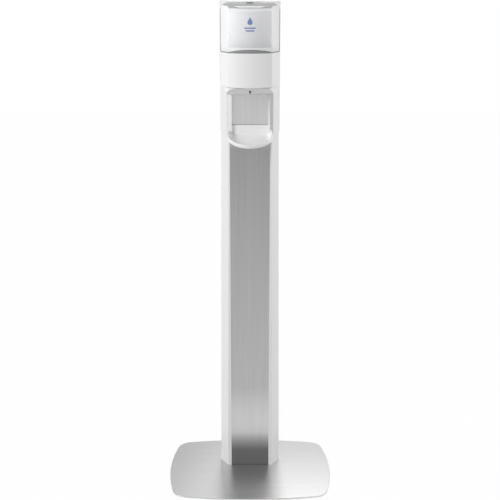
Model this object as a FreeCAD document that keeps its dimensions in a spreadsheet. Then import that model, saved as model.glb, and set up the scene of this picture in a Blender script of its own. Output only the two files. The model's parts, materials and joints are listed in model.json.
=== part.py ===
import FreeCAD, Part

import math
import os
import re

import Sketcher

# Touch-free hand sanitizer floor stand, in millimetres.
# Origin: middle of the footprint, on the floor. +Z is up and the front looks towards -Y.

doc = FreeCAD.newDocument("SanitizerStand")
dims = doc.addObject("Spreadsheet::Sheet", "Dims")

SIZES = [
    ("foot_high", 2.0, "rubber feet under the base plate"),
    ("foot_radius", 14.0, "radius of a foot"),
    ("foot_inset", 45.0, "foot centre in from the plate's widest line"),
    ("base_width", 420.0, "base plate across, at its widest"),
    ("base_depth", 318.0, "base plate front to back"),
    ("base_thick", 4.0, "base plate thickness"),
    ("base_bow", 13.0, "how far each edge of the plate bows out"),
    ("base_corner_run", 31.0, "corner, measured along each edge"),
    ("base_corner_radius", 38.5, "radius of the plate's corners"),
    ("base_edge_break", 0.6, "chamfer along the plate's top edge"),
    ("post_front_y", 17.0, "front face of the post, behind the base's middle"),
    ("post_depth", 64.0, "post front to back"),
    ("post_front_low", 58.0, "half width of the post's front at the floor"),
    ("post_outer_low", 77.3, "half width of the post's widest line at the floor"),
    ("post_front_high", 51.4, "half width of the post's front at its top"),
    ("post_outer_high", 69.6, "half width of the post's widest line at its top"),
    ("post_sheet", 1.5, "sheet thickness of post and head"),
    ("post_overlap", 58.0, "how far the post stands up inside the head"),
    ("panel_half", 48.85, "half width of the post's front opening"),
    ("panel_sheet", 1.0, "thickness of the brushed panels"),
    ("panel_tuck", 1.6, "how far the panel reaches behind the lips"),
    ("panel_return", 10.0, "depth of the panel's folded edges"),
    ("flange_thick", 5.0, "foot flange inside the post"),
    ("flange_step", 12.5, "depth of the flange's narrow front part"),
    ("base_screw_x", 44.0, "base screws off the middle line"),
    ("base_screw_front", 21.0, "front base screws behind the post's face"),
    ("base_screw_back", 49.0, "back base screws behind the post's face"),
    ("base_screw_radius", 4.0, "shank radius"),
    ("base_screw_head", 7.2, "head radius"),
    ("base_screw_high", 1.7, "flat head, in the gap that the feet leave under the plate"),
    ("head_low", 899.0, "seam between post and head"),
    ("head_long", 309.0, "length of the head's sheet"),
    ("head_front_half", 56.0, "half width of the head's front"),
    ("head_outer_half", 72.2, "half width of the head's widest line"),
    ("head_opening_half", 46.5, "half width of the head's front opening"),
    ("cap_thick", 3.0, "top plate of the head cap"),
    ("cap_skirt", 12.0, "depth of the cap's skirt"),
    ("cap_wall", 2.0, "wall of the cap's skirt"),
    ("backing_thick", 3.0, "backing plate behind the upper panel"),
    ("backing_half", 52.0, "half width of the backing plate"),
    ("backing_margin", 22.0, "backing plate beyond the mounting screws"),
    ("joint_screw_x", 30.0, "joint screws off the middle line"),
    ("joint_screw_first", 28.0, "joint screws above the seam"),
    ("joint_screw_radius", 2.5, "shank radius"),
    ("mount_screw_x", 30.0, "upper mounting screws off the middle line"),
    ("mount_screw_rise", 94.0, "lower mounting screw above the bottom"),
    ("mount_screw_pitch", 76.0, "upper mounting screws above the lower one"),
    ("mount_screw_radius", 2.2, "shank radius"),
    ("screw_head_high", 2.4, "height of the pan heads"),
    ("screw_head_grow", 2.0, "pan head radius over shank radius"),
    ("fit_gap", 0.3, "general clearance between pieces"),
    ("hole_gap", 0.25, "radial clearance of screw holes"),
    ("shield_thick", 3.0, "back wall of the drip shield"),
    ("shield_half", 48.2, "half width of the shield's frame"),
    ("shield_rail", 4.8, "width of the shield's two rails"),
    ("shield_rail_deep", 5.5, "how far the rails stand forward"),
    ("opening_low_rise", 21.3, "lower edge of the shield's opening above the seam"),
    ("opening_high_rise", 14.0, "upper edge of the shield's opening above the dispenser's bottom"),
    ("shield_rise", 192.0, "top of the shield above the dispenser's bottom"),
    ("shield_drop", 20.0, "bottom of the shield's back wall below the seam"),
    ("shield_corner", 8.0, "rounding of the shield's lower corners"),
    ("bowl_radius", 55.0, "rim of the drip bowl"),
    ("bowl_centre_y", -9.0, "bowl's middle"),
    ("bowl_rise", 3.5, "bowl's rim plane at its middle, above the seam"),
    ("bowl_tilt", 19.3, "how far the bowl leans forward, in degrees"),
    ("bowl_deep", 13.0, "inside depth of the bowl"),
    ("bowl_wall", 3.0, "wall of the bowl"),
    ("bowl_lip", 3.6, "width of the bowl's rolled lip"),
    ("bowl_lip_high", 8.0, "height of the lip's outer band"),
    ("bowl_floor_radius", 36.0, "flat floor of the bowl"),
    ("bowl_curve", 12.0, "radius between the bowl's floor and its wall"),
    ("cover_half", 69.0, "half width of the dispenser"),
    ("cover_front_y", -83.0, "front of the dispenser"),
    ("cover_back_y", -5.0, "parting line between cover and chassis"),
    ("cover_lift", 99.0, "bottom of the dispenser above the seam"),
    ("fold_rise", 24.0, "fold where the front turns under, above the bottom"),
    ("top_front_rise", 206.5, "top of the dispenser at its front, above the bottom"),
    ("top_back_rise", 210.0, "top of the dispenser at its back, above the bottom"),
    ("cover_undercut", 33.0, "how far the underside runs back below the fold"),
    ("band_half", 51.0, "half width of the front band"),
    ("band_bow", 12.0, "how far the front band bows forward"),
    ("facet_deep", 29.0, "depth of the side facets"),
    ("cover_top_corner", 15.0, "upper corners seen from the front"),
    ("cover_brow", 8.0, "rounding over the top front edge"),
    ("cover_side_round", 45.0, "lower sides curving in"),
    ("side_rise", 37.0, "where the lower sides start to curve in, above the bottom"),
    ("cover_low_half", 50.0, "half width at the bottom"),
    ("cover_wall", 2.5, "wall of the dispenser's shells"),
    ("cover_lip", 1.2, "thin lower lip of the cover"),
    ("cover_lip_high", 14.5, "height of the thin lip"),
    ("fairing_inset", 3.8, "nozzle fairing inside the cover's lip"),
    ("fairing_wall", 2.2, "wall of the nozzle fairing"),
    ("window_side_rise", 104.6, "lower edge of the window at its sides, above the bottom"),
    ("window_middle_rise", 111.0, "lower edge of the window at its middle, above the bottom"),
    ("seam_rise", 102.0, "top edge of the white lower cover, above the bottom"),
    ("frame_wall", 2.0, "frame between cover and window"),
    ("frame_low_rise", 94.0, "lower edge of the window frame, above the bottom"),
    ("frame_high_rise", 112.5, "upper edge of the window frame, above the bottom"),
    ("chassis_wall", 3.0, "back wall of the chassis"),
    ("hinge_y", -18.0, "cover hinge axis, front to back"),
    ("hinge_rise", 29.0, "cover hinge axis above the bottom"),
    ("hinge_radius", 2.5, "hinge pin"),
    ("hinge_gap", 0.08, "running clearance of the hinge pin"),
    ("lug_thick", 3.0, "hinge lugs of the chassis"),
    ("lug_inset", 5.0, "hinge lugs inside the dispenser's widest line"),
    ("lug_round", 5.5, "hinge lug around the pin"),
    ("bottle_half", 58.0, "half width of the refill bottle"),
    ("bottle_front_y", -66.0, "front of the bottle"),
    ("bottle_back_y", 4.5, "back of the bottle"),
    ("bottle_lift", 69.0, "bottom of the bottle's body above the dispenser's bottom"),
    ("bottle_long", 131.5, "height of the bottle's body"),
    ("bottle_wall", 1.2, "bottle wall"),
    ("bottle_round", 16.0, "rounding of the bottle's upright edges"),
    ("bottle_shoulder", 7.0, "bevel of the bottle's top and bottom edges"),
    ("bottle_front_radius", 102.5, "radius of the bottle's bowed front"),
    ("gel_drop", 5.0, "surface of the sanitizer below the bottle's top"),
    ("gel_gap", 0.05, "gel inside the bottle wall"),
    ("neck_radius", 14.0, "bottle neck"),
    ("neck_long", 20.0, "length of the bottle neck"),
    ("pump_y", -32.0, "pump axis"),
    ("collar_radius", 18.0, "pump collar"),
    ("collar_high", 20.0, "height of the pump collar"),
    ("barrel_radius", 9.0, "pump barrel"),
    ("barrel_lift", 26.0, "bottom of the pump barrel above the dispenser's bottom"),
    ("nozzle_radius", 5.9, "pump nozzle"),
    ("nozzle_gap", 0.1, "nozzle inside the barrel"),
    ("nozzle_lift", 3.5, "tip of the nozzle above the dispenser's bottom"),
    ("nozzle_bore", 2.0, "bore of the nozzle"),
    ("nozzle_flange", 11.0, "flange that the actuator lifts"),
    ("actuator_lift", 10.0, "underside of the actuator fork above the dispenser's bottom"),
    ("actuator_thick", 4.0, "thickness of the actuator fork"),
    ("actuator_stroke", 8.0, "travel of the actuator"),
    ("actuator_half", 14.0, "half width of the actuator fork"),
    ("gear_module", 0.8, "module of the gear train"),
    ("gear_face", 4.0, "face width of the gears"),
    ("gear_backlash", 0.24, "play between the teeth"),
    ("drive_teeth", 40, "teeth of the driven wheel"),
    ("pinion_teeth", 12, "teeth of both pinions"),
    ("gear_lift", 39.0, "both gear axes above the dispenser's bottom"),
    ("gear_x", -19.2, "driven wheel's axis"),
    ("gear_back_y", 5.0, "back face of the driven wheel"),
    ("axle_radius", 1.5, "axle of the driven wheel"),
    ("axle_gap", 0.06, "running clearance on the axle"),
    ("motor_radius", 12.0, "motor can"),
    ("motor_long", 28.0, "length of the motor can"),
    ("gear_plate_y", -6.0, "back face of the gear plate"),
    ("gear_plate_thick", 2.0, "gear plate"),
    ("cell_radius", 7.1, "battery cell"),
    ("cell_long", 50.5, "length of a cell"),
    ("cell_lift", 15.0, "bottom of the cells above the dispenser's bottom"),
    ("cell_first_x", 28.5, "first cell's axis"),
    ("cell_pitch", 15.4, "between cell axes"),
    ("cell_front_y", -26.0, "front row of cells"),
    ("cell_tray_wall", 1.6, "wall of the battery tray"),
    ("board_thick", 1.6, "circuit boards"),
    ("sensor_half", 1.3, "half width of the sensor window"),
    ("sensor_long", 7.5, "length of the sensor window"),
    ("latch_half", 8.0, "half width of the latch button"),
    ("latch_back_y", 9.2, "back of the latch button"),
    ("latch_vee", 4.0, "depth of the pointed finger notch in the window's rear edge"),
    ("latch_rise", 2.2, "button above the chassis"),
    ("latch_travel", 3.0, "travel of the latch button"),
    ("spring_radius", 1.7, "middle radius of the latch spring's coils"),
    ("spring_wire", 0.3, "wire radius of the latch spring"),
    ("spring_y", 7.1, "axis of the latch spring"),
    ("spring_drop", 13.0, "seat of the latch spring below the dispenser's top"),
    ("spring_turns", 4.0, "turns of the latch spring"),
]

# Heights that follow from the sizes: each stands on the one that carries it.
LEVELS = [
    ("head_high", "head_low + head_long"),
    ("cover_low", "head_low + cover_lift"),
    ("shield_opening_low", "head_low + opening_low_rise"),
    ("shield_opening_high", "cover_low + opening_high_rise"),
    ("shield_top", "cover_low + shield_rise"),
    ("shield_foot", "head_low - shield_drop"),
    ("bowl_centre_z", "head_low + bowl_rise"),
    ("cover_fold", "cover_low + fold_rise"),
    ("cover_top_front", "cover_low + top_front_rise"),
    ("cover_top_back", "cover_low + top_back_rise"),
    ("cover_side_start", "cover_low + side_rise"),
    ("window_side", "cover_low + window_side_rise"),
    ("window_middle", "cover_low + window_middle_rise"),
    ("cover_seam", "cover_low + seam_rise"),
    ("frame_low", "cover_low + frame_low_rise"),
    ("frame_high", "cover_low + frame_high_rise"),
    ("hinge_z", "cover_low + hinge_rise"),
    ("mount_screw_low", "cover_low + mount_screw_rise"),
    ("bottle_low", "cover_low + bottle_lift"),
    ("bottle_high", "bottle_low + bottle_long"),
    ("gel_level", "bottle_high - gel_drop"),
    ("barrel_low", "cover_low + barrel_lift"),
    ("nozzle_low", "cover_low + nozzle_lift"),
    ("actuator_low", "cover_low + actuator_lift"),
    ("gear_z", "cover_low + gear_lift"),
    ("cell_low", "cover_low + cell_lift"),
    ("spring_low", "cover_top_back - spring_drop"),
]

for row, (alias, number, note) in enumerate(SIZES, start=1):
    dims.set("A%d" % row, alias)
    dims.set("B%d" % row, str(number))
    dims.setAlias("B%d" % row, alias)
    dims.set("C%d" % row, note)
for row, (alias, formula) in enumerate(LEVELS, start=len(SIZES) + 1):
    dims.set("A%d" % row, alias)
    dims.set("B%d" % row, "=" + formula)
    dims.setAlias("B%d" % row, alias)
doc.recompute()

NAMES = [alias for alias, number, note in SIZES] + [alias for alias, formula in LEVELS]
NAMES.sort(key=len, reverse=True)
WORD = re.compile(r"\b(%s)\b" % "|".join(NAMES))
PLANES = {"plan": "XY_Plane", "front": "XZ_Plane", "side": "YZ_Plane"}


def bind(text):
    """Formula of size names, written out as the sheet's own cells."""
    return WORD.sub(lambda word: "Dims." + word.group(), str(text))


def value(text):
    """Number that a formula gives now."""
    return float(dims.evalExpression(bind(text)))


def drive(thing, prop, text):
    """Ties a property to a formula."""
    thing.setExpression(prop, bind(text))


# Sketches: an outline is a list of corners (x, y), (x, y, rounding) or (x, y, bow, "arc").
# "arc" bends the edge that leaves the corner, with the given radius, outwards when positive.


def turned(point, centre, start):
    """Angle of a point round a centre, not less than start."""
    angle = math.atan2(point.y - centre.y, point.x - centre.x)
    while angle < start:
        angle += 2 * math.pi
    return angle


def arc_between(first, last, radius):
    """Counter-clockwise arc of a given radius from first to last."""
    chord = last - first
    half = chord.Length / 2
    rise = math.sqrt(max(radius ** 2 - half ** 2, 0))
    left = FreeCAD.Vector(-chord.y, chord.x, 0).normalize()
    centre = (first + last) * 0.5 + left * rise
    start = math.atan2(first.y - centre.y, first.x - centre.x)
    end = turned(last, centre, start)
    circle = Part.Circle(centre, FreeCAD.Vector(0, 0, 1), radius)
    return Part.ArcOfCircle(circle, start, end)


def place_point(sketch, geo, pos, x, y):
    """Holds one end of a sketch element at two formulas."""
    for kind, text in (("DistanceX", x), ("DistanceY", y)):
        constraint = Sketcher.Constraint(kind, -1, 1, geo, pos, value(text))
        index = sketch.addConstraint(constraint)
        drive(sketch, "Constraints[%d]" % index, text)


def hold_radius(sketch, geo, text):
    """Holds the radius of an arc or circle at a formula."""
    index = sketch.addConstraint(Sketcher.Constraint("Radius", geo, value(text)))
    drive(sketch, "Constraints[%d]" % index, text)


def outline(sketch, corners):
    """Draws a closed outline, counter-clockwise, with every corner held by formulas."""
    count = len(corners)
    at = [FreeCAD.Vector(value(c[0]), value(c[1]), 0) for c in corners]
    bent = [len(c) > 3 for c in corners]
    rounding = [c[2] if len(c) == 3 else None for c in corners]
    trims = []
    for i in range(count):
        trim = 0.0
        if rounding[i]:
            turn = (at[i] - at[i - 1]).getAngle(at[(i + 1) % count] - at[i])
            trim = value(rounding[i]) * math.tan(turn / 2)
        trims.append(trim)
    edges = []
    for i in range(count):
        j = (i + 1) % count
        if bent[i]:
            radius = value(corners[i][2])
            if radius > 0:
                geo = sketch.addGeometry(arc_between(at[i], at[j], radius), False)
                edges.append((geo, 1, 2))
            else:
                geo = sketch.addGeometry(arc_between(at[j], at[i], -radius), False)
                edges.append((geo, 2, 1))
            continue
        along = (at[j] - at[i]).normalize()
        line = Part.LineSegment(at[i] + along * trims[i], at[j] - along * trims[j])
        edges.append((sketch.addGeometry(line, False), 1, 2))
    for i in range(count):
        before, after = edges[i - 1], edges[i]
        if not rounding[i]:
            joint = Sketcher.Constraint("Coincident", before[0], before[2], after[0], after[1])
            sketch.addConstraint(joint)
            place_point(sketch, after[0], after[1], corners[i][0], corners[i][1])
            continue
        point = sketch.addGeometry(Part.Point(at[i]), True)
        place_point(sketch, point, 1, corners[i][0], corners[i][1])
        sketch.addConstraint(Sketcher.Constraint("PointOnObject", point, 1, before[0]))
        sketch.addConstraint(Sketcher.Constraint("PointOnObject", point, 1, after[0]))
        inward = (at[i] - at[i - 1]).normalize()
        onward = (at[(i + 1) % count] - at[i]).normalize()
        first = at[i] - inward * trims[i]
        last = at[i] + onward * trims[i]
        left_turn = inward.x * onward.y - inward.y * onward.x > 0
        radius = value(rounding[i])
        ends = (first, last) if left_turn else (last, first)
        arc = sketch.addGeometry(arc_between(*ends, radius), False)
        points = (1, 2) if left_turn else (2, 1)
        sketch.addConstraint(Sketcher.Constraint("Tangent", before[0], before[2], arc, points[0]))
        sketch.addConstraint(Sketcher.Constraint("Tangent", after[0], after[1], arc, points[1]))
        hold_radius(sketch, arc, rounding[i])
    for i in range(count):
        if bent[i]:
            sign = "" if value(corners[i][2]) > 0 else "-"
            hold_radius(sketch, edges[i][0], "%s(%s)" % (sign, corners[i][2]))


def circles(sketch, centres, radius):
    """Draws one circle round each centre."""
    for x, y in centres:
        middle = FreeCAD.Vector(value(x), value(y), 0)
        ring = Part.Circle(middle, FreeCAD.Vector(0, 0, 1), value(radius))
        geo = sketch.addGeometry(ring, False)
        place_point(sketch, geo, 3, x, y)
        hold_radius(sketch, geo, radius)


def both(corners):
    """Full outline from its right half, listed from the lower middle to the upper middle."""
    left = []
    for i in range(len(corners) - 1, -1, -1):
        corner = corners[i]
        mirrored = ("-(%s)" % corner[0], corner[1])
        bend = corners[i - 1] if i > 0 else ()
        if len(bend) > 3:
            mirrored += bend[2:]
        elif len(corner) == 3:
            mirrored += (corner[2],)
        left.append(mirrored)
    right = list(corners)
    return right + left


def new_body(label):
    body = doc.addObject("PartDesign::Body", label)
    body.Label = label
    return body


def sketch_on(body, name, view, level):
    """Sketch on one of a body's own planes, moved to a level along that plane's axis."""
    plane = next(f for f in body.Origin.OriginFeatures if f.Role == PLANES[view])
    sketch = body.newObject("Sketcher::SketchObject", name)
    sketch.AttachmentSupport = [(plane, "")]
    sketch.MapMode = "FlatFace"
    sign = "-" if view == "front" else ""
    drive(sketch, "AttachmentOffset.Base.z", "%s(%s)" % (sign, level))
    return sketch


def draw(sketch, shape):
    """Draws an outline, or circles given as (centres, radius)."""
    if isinstance(shape, tuple):
        circles(sketch, *shape)
    else:
        outline(sketch, shape)


def add_prism(body, name, view, low, high, shape):
    """Pad between two levels along the view's axis."""
    sketch = sketch_on(body, name + "Sketch", view, low)
    draw(sketch, shape)
    pad = body.newObject("PartDesign::Pad", name)
    pad.Profile = sketch
    drive(pad, "Length", "(%s) - (%s)" % (high, low))
    pad.Reversed = view == "front"
    doc.recompute()
    return pad


def cut_prism(body, name, view, low, high, shape):
    """Pocket between two levels along the view's axis."""
    sketch = sketch_on(body, name + "Sketch", view, low)
    draw(sketch, shape)
    pocket = body.newObject("PartDesign::Pocket", name)
    pocket.Profile = sketch
    drive(pocket, "Length", "(%s) - (%s)" % (high, low))
    pocket.Reversed = view != "front"
    doc.recompute()
    return pocket


def bevel_edges(body, name, size, test):
    """Chamfers those edges of the body so far that pass a test."""
    doc.recompute()
    tip = body.Tip
    picked = [i for i, edge in enumerate(tip.Shape.Edges, start=1) if test(edge)]
    chamfer = body.newObject("PartDesign::Chamfer", name)
    chamfer.Base = (tip, ["Edge%d" % i for i in picked])
    drive(chamfer, "Size", size)
    doc.recompute()
    return chamfer


def rectangle(x_low, x_high, y_low, y_high):
    return [(x_low, y_low), (x_high, y_low), (x_high, y_high), (x_low, y_high)]


def block(name, x_low, x_high, y_low, y_high, z_low, z_high):
    """Box between six formulas."""
    box = doc.addObject("Part::Box", name)
    for prop, low, high in (("Length", x_low, x_high), ("Width", y_low, y_high), ("Height", z_low, z_high)):
        drive(box, prop, "(%s) - (%s)" % (high, low))
    for axis, low in (("x", x_low), ("y", y_low), ("z", z_low)):
        drive(box, "Placement.Base." + axis, low)
    return box


TURNS = {"x": FreeCAD.Rotation(FreeCAD.Vector(0, 1, 0), 90),
         "y": FreeCAD.Rotation(FreeCAD.Vector(-1, 0, 0), 90),
         "z": FreeCAD.Rotation()}


def rod(name, along, x, y, z, radius, length):
    """Cylinder that starts at a point and runs along one axis."""
    cylinder = doc.addObject("Part::Cylinder", name)
    cylinder.Placement = FreeCAD.Placement(FreeCAD.Vector(), TURNS[along])
    drive(cylinder, "Radius", radius)
    drive(cylinder, "Height", length)
    for axis, text in (("x", x), ("y", y), ("z", z)):
        drive(cylinder, "Placement.Base." + axis, text)
    return cylinder


def join(name, shapes):
    fuse = doc.addObject("Part::MultiFuse", name)
    fuse.Shapes = shapes
    return fuse


def cut(name, base, tools):
    result = doc.addObject("Part::Cut", name)
    result.Base = base
    result.Tool = tools[0] if len(tools) == 1 else join(name + "Tools", tools)
    return result


def keep(name, shapes):
    common = doc.addObject("Part::MultiCommon", name)
    common.Shapes = shapes
    return common


def polygon(x, y, radius, sides):
    """Corners of a regular outline round a centre."""
    corners = []
    for side in range(sides):
        turn = 360.0 * side / sides
        corners.append(("%s + (%s) * cos(%g deg)" % (x, radius, turn),
                        "%s + (%s) * sin(%g deg)" % (y, radius, turn)))
    return corners


def grid(xs, ys):
    """Centres of a rectangular pattern."""
    return [(x, y) for x in xs for y in ys]


nodes = []


def finish(thing, label):
    """Names a finished piece, which gives its file its name."""
    thing.Label = label
    nodes.append(thing)
    return thing


# Derived heights and faces that several pieces share.

BASE_LOW = "foot_high"
BASE_TOP = "foot_high + base_thick"
POST_BACK = "post_front_y + post_depth"
POST_TOP = "head_low + post_overlap"
HEAD_FRONT = "post_front_y - post_sheet"
HEAD_BACK = "post_front_y + post_depth + post_sheet"
PANEL_FRONT = "post_front_y + post_sheet"
SHIELD_FRONT = "post_front_y - post_sheet - shield_thick"
CHASSIS_FRONT = "post_front_y - post_sheet - shield_thick - chassis_wall"
UPPER_PANEL_BACK = "post_front_y + panel_sheet"
MOUNT_HIGH = "mount_screw_low + mount_screw_pitch"
MOUNT_SCREWS = [("mount_screw_x", MOUNT_HIGH), ("-mount_screw_x", MOUNT_HIGH), ("0", "mount_screw_low")]
JOINT_SCREWS = grid(("joint_screw_x", "-joint_screw_x"), ("head_low + joint_screw_first",))
BASE_ROWS = ("post_front_y + base_screw_front", "post_front_y + base_screw_back")
BASE_SCREWS = grid(("base_screw_x", "-base_screw_x"), BASE_ROWS)


# Base plate: one flat steel plate whose four edges bow outwards.

SIDE_X = "base_width / 2 - base_bow"
FRONT_Y = "base_depth / 2 - base_bow"
CORNER_X = "(%s - base_corner_run)" % SIDE_X
CORNER_Y = "(%s - base_corner_run)" % FRONT_Y
FRONT_RADIUS = "(%s ^ 2 + base_bow ^ 2) / (2 * base_bow)" % CORNER_X
SIDE_RADIUS = "(%s ^ 2 + base_bow ^ 2) / (2 * base_bow)" % CORNER_Y
BASE_OUTLINE = [
    (CORNER_X, "-(%s)" % FRONT_Y, "base_corner_radius", "arc"),
    (SIDE_X, "-%s" % CORNER_Y, SIDE_RADIUS, "arc"),
    (SIDE_X, CORNER_Y, "base_corner_radius", "arc"),
    (CORNER_X, FRONT_Y, FRONT_RADIUS, "arc"),
    ("-%s" % CORNER_X, FRONT_Y, "base_corner_radius", "arc"),
    ("-(%s)" % SIDE_X, CORNER_Y, SIDE_RADIUS, "arc"),
    ("-(%s)" % SIDE_X, "-%s" % CORNER_Y, "base_corner_radius", "arc"),
    ("-%s" % CORNER_X, "-(%s)" % FRONT_Y, FRONT_RADIUS, "arc"),
]

base_plate = new_body("base_plate")
add_prism(base_plate, "Plate", "plan", BASE_LOW, BASE_TOP, BASE_OUTLINE)
cut_prism(base_plate, "ScrewHoles", "plan", BASE_LOW, BASE_TOP, (BASE_SCREWS, "base_screw_radius + hole_gap"))
top_level = value(BASE_TOP)
bevel_edges(base_plate, "TopEdge", "base_edge_break",
            lambda edge: abs(edge.BoundBox.ZMin - top_level) < 0.01 and not edge.isClosed())
finish(base_plate, "base_plate")

FOOT_X = "base_width / 2 - foot_inset"
FOOT_Y = "base_depth / 2 - foot_inset"
base_feet = new_body("base_feet")
FOOT_CENTRES = grid((FOOT_X, "-(%s)" % FOOT_X), (FOOT_Y, "-(%s)" % FOOT_Y))
add_prism(base_feet, "Feet", "plan", "0", "foot_high", (FOOT_CENTRES, "foot_radius"))
finish(base_feet, "base_feet")

base_screws = new_body("base_screws")
for x, y in BASE_SCREWS:
    add_prism(base_screws, "Head", "plan", "foot_high - base_screw_high", BASE_LOW,
              polygon(x, y, "base_screw_head", 6))
add_prism(base_screws, "Shanks", "plan", BASE_LOW, BASE_TOP + " + flange_thick",
          (BASE_SCREWS, "base_screw_radius"))
finish(base_screws, "base_screws")


# Post: one folded sheet, open at the front between two lips, flaring towards the floor.


def folded_section(front, outer, lip, face_y, back_y):
    """Section of a six-sided channel of sheet metal, open between its two front lips."""
    half_deep = "((%s) - (%s)) / 2" % (back_y, face_y)
    middle = "((%s) + (%s)) / 2" % (back_y, face_y)
    slant = "hypot(%s - %s; %s)" % (outer, front, half_deep)
    skew = "(post_sheet * %s / (%s))" % (slant, half_deep)
    inner_corner = "%s + (%s - %s) * post_sheet / (%s) - %s" % (front, outer, front, half_deep, skew)
    inner_outer = "%s - %s" % (outer, skew)
    outside = [(lip, face_y), (front, face_y), (outer, middle), (front, back_y)]
    inside = [(lip, "%s + post_sheet" % face_y), (inner_corner, "%s + post_sheet" % face_y),
              (inner_outer, middle), (inner_corner, "%s - post_sheet" % back_y)]
    left_outside = [("-(%s)" % x, y) for x, y in reversed(outside)]
    left_inside = [("-(%s)" % x, y) for x, y in inside]
    return outside + left_outside + left_inside + list(reversed(inside))


post_shell = new_body("post_shell")
low_section = sketch_on(post_shell, "LowSection", "plan", BASE_TOP)
outline(low_section, folded_section("post_front_low", "post_outer_low", "panel_half", "post_front_y",
                                    POST_BACK))
high_section = sketch_on(post_shell, "HighSection", "plan", POST_TOP)
outline(high_section, folded_section("post_front_high", "post_outer_high", "panel_half", "post_front_y",
                                     POST_BACK))
post_loft = post_shell.newObject("PartDesign::AdditiveLoft", "Folded")
post_loft.Profile = low_section
post_loft.Sections = [high_section]
post_loft.Ruled = True
doc.recompute()
cut_prism(post_shell, "JointHoles", "front", POST_BACK + " - post_sheet * 2", POST_BACK + " + post_sheet",
          (JOINT_SCREWS, "joint_screw_radius + hole_gap"))
finish(post_shell, "post_shell")

foot_flange = new_body("foot_flange")
FLANGE_FRONT = "post_front_y + post_sheet + panel_sheet + fit_gap"
FLANGE_STEP = "post_front_y + flange_step"
FLANGE_BACK = POST_BACK + " - post_sheet - fit_gap"
FLANGE_MIDDLE = "post_front_y + post_depth / 2"
SIDE_RUN = "(post_outer_low - post_front_low) / (post_depth / 2)"
SIDE_SHEET = "(post_sheet * 2 + fit_gap)"
flange_half = [
    ("panel_half - fit_gap - panel_sheet", FLANGE_FRONT),
    ("panel_half - fit_gap - panel_sheet", FLANGE_STEP),
    ("post_front_low + flange_step * %s - %s" % (SIDE_RUN, SIDE_SHEET), FLANGE_STEP),
    ("post_outer_low - %s" % SIDE_SHEET, FLANGE_MIDDLE),
    ("post_front_low - post_sheet", FLANGE_BACK),
]
add_prism(foot_flange, "Flange", "plan", BASE_TOP, BASE_TOP + " + flange_thick", both(flange_half))
cut_prism(foot_flange, "Taps", "plan", BASE_TOP, BASE_TOP + " + flange_thick",
          (BASE_SCREWS, "base_screw_radius + hole_gap"))
finish(foot_flange, "foot_flange")

front_panel = new_body("front_panel")
PANEL_OUT = "panel_half + panel_tuck"
panel_half_outline = [
    (PANEL_OUT, PANEL_FRONT),
    (PANEL_OUT, PANEL_FRONT + " + panel_return"),
    (PANEL_OUT + " - panel_sheet", PANEL_FRONT + " + panel_return"),
    (PANEL_OUT + " - panel_sheet", PANEL_FRONT + " + panel_sheet"),
]
add_prism(front_panel, "Panel", "plan", BASE_TOP + " + fit_gap", "head_low - fit_gap",
          both(panel_half_outline))
finish(front_panel, "front_panel")


# Head: a straight sleeve of the same fold that slips over the post and carries the dispenser.

head_shell = new_body("head_shell")
add_prism(head_shell, "Folded", "plan", "head_low", "head_high",
          folded_section("head_front_half", "head_outer_half", "head_opening_half", HEAD_FRONT, HEAD_BACK))
cut_prism(head_shell, "JointHoles", "front", HEAD_BACK + " - post_sheet * 2", HEAD_BACK + " + post_sheet",
          (JOINT_SCREWS, "joint_screw_radius + hole_gap"))
finish(head_shell, "head_shell")

upper_panel = new_body("upper_panel")
UPPER_HALF = "panel_half - fit_gap"
SKIRT_LOW = "head_high - cap_skirt"
add_prism(upper_panel, "Panel", "plan", "head_low + fit_gap", SKIRT_LOW + " - fit_gap",
          rectangle("-(%s)" % UPPER_HALF, UPPER_HALF, "post_front_y", UPPER_PANEL_BACK))
cut_prism(upper_panel, "Holes", "front", "post_front_y - post_sheet", UPPER_PANEL_BACK + " + post_sheet",
          (MOUNT_SCREWS, "mount_screw_radius + hole_gap"))
finish(upper_panel, "upper_panel")

backing_plate = new_body("backing_plate")
BACKING_LOW = "mount_screw_low - backing_margin"
BACKING_HIGH = "mount_screw_low + mount_screw_pitch + backing_margin"
add_prism(backing_plate, "Backing", "front", UPPER_PANEL_BACK, UPPER_PANEL_BACK + " + backing_thick",
          rectangle("-backing_half", "backing_half", BACKING_LOW, BACKING_HIGH))
cut_prism(backing_plate, "Taps", "front", UPPER_PANEL_BACK, UPPER_PANEL_BACK + " + backing_thick",
          (MOUNT_SCREWS, "mount_screw_radius + hole_gap"))
finish(backing_plate, "backing_plate")

HEAD_MIDDLE = "post_front_y + post_depth / 2"


def six_sided(inset):
    """Head's outline in plan, drawn in by an inset on every side."""
    half_deep = "(post_depth / 2 + post_sheet)"
    slant = "hypot(head_outer_half - head_front_half; %s)" % half_deep
    skew = "((%s) * %s / %s)" % (inset, slant, half_deep)
    slope = "(head_outer_half - head_front_half) / " + half_deep
    front = "head_front_half + %s * (%s) - %s" % (slope, inset, skew)
    outer = "head_outer_half - %s" % skew
    return both([(front, HEAD_FRONT + " + %s" % inset), (outer, HEAD_MIDDLE),
                 (front, HEAD_BACK + " - (%s)" % inset)])


head_cap = new_body("head_cap")
SKIRT_INSET = "post_sheet + fit_gap"
add_prism(head_cap, "Skirt", "plan", SKIRT_LOW, "head_high", six_sided(SKIRT_INSET))
add_prism(head_cap, "Top", "plan", "head_high", "head_high + cap_thick", six_sided("0"))
cut_prism(head_cap, "Hollow", "plan", SKIRT_LOW, "head_high", six_sided(SKIRT_INSET + " + cap_wall"))
finish(head_cap, "head_cap")

joint_screws = new_body("joint_screws")
add_prism(joint_screws, "Heads", "front", HEAD_BACK, HEAD_BACK + " + screw_head_high",
          (JOINT_SCREWS, "joint_screw_radius + screw_head_grow"))
add_prism(joint_screws, "Shanks", "front", POST_BACK + " - post_sheet * 3", HEAD_BACK,
          (JOINT_SCREWS, "joint_screw_radius"))
finish(joint_screws, "joint_screws")

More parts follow.
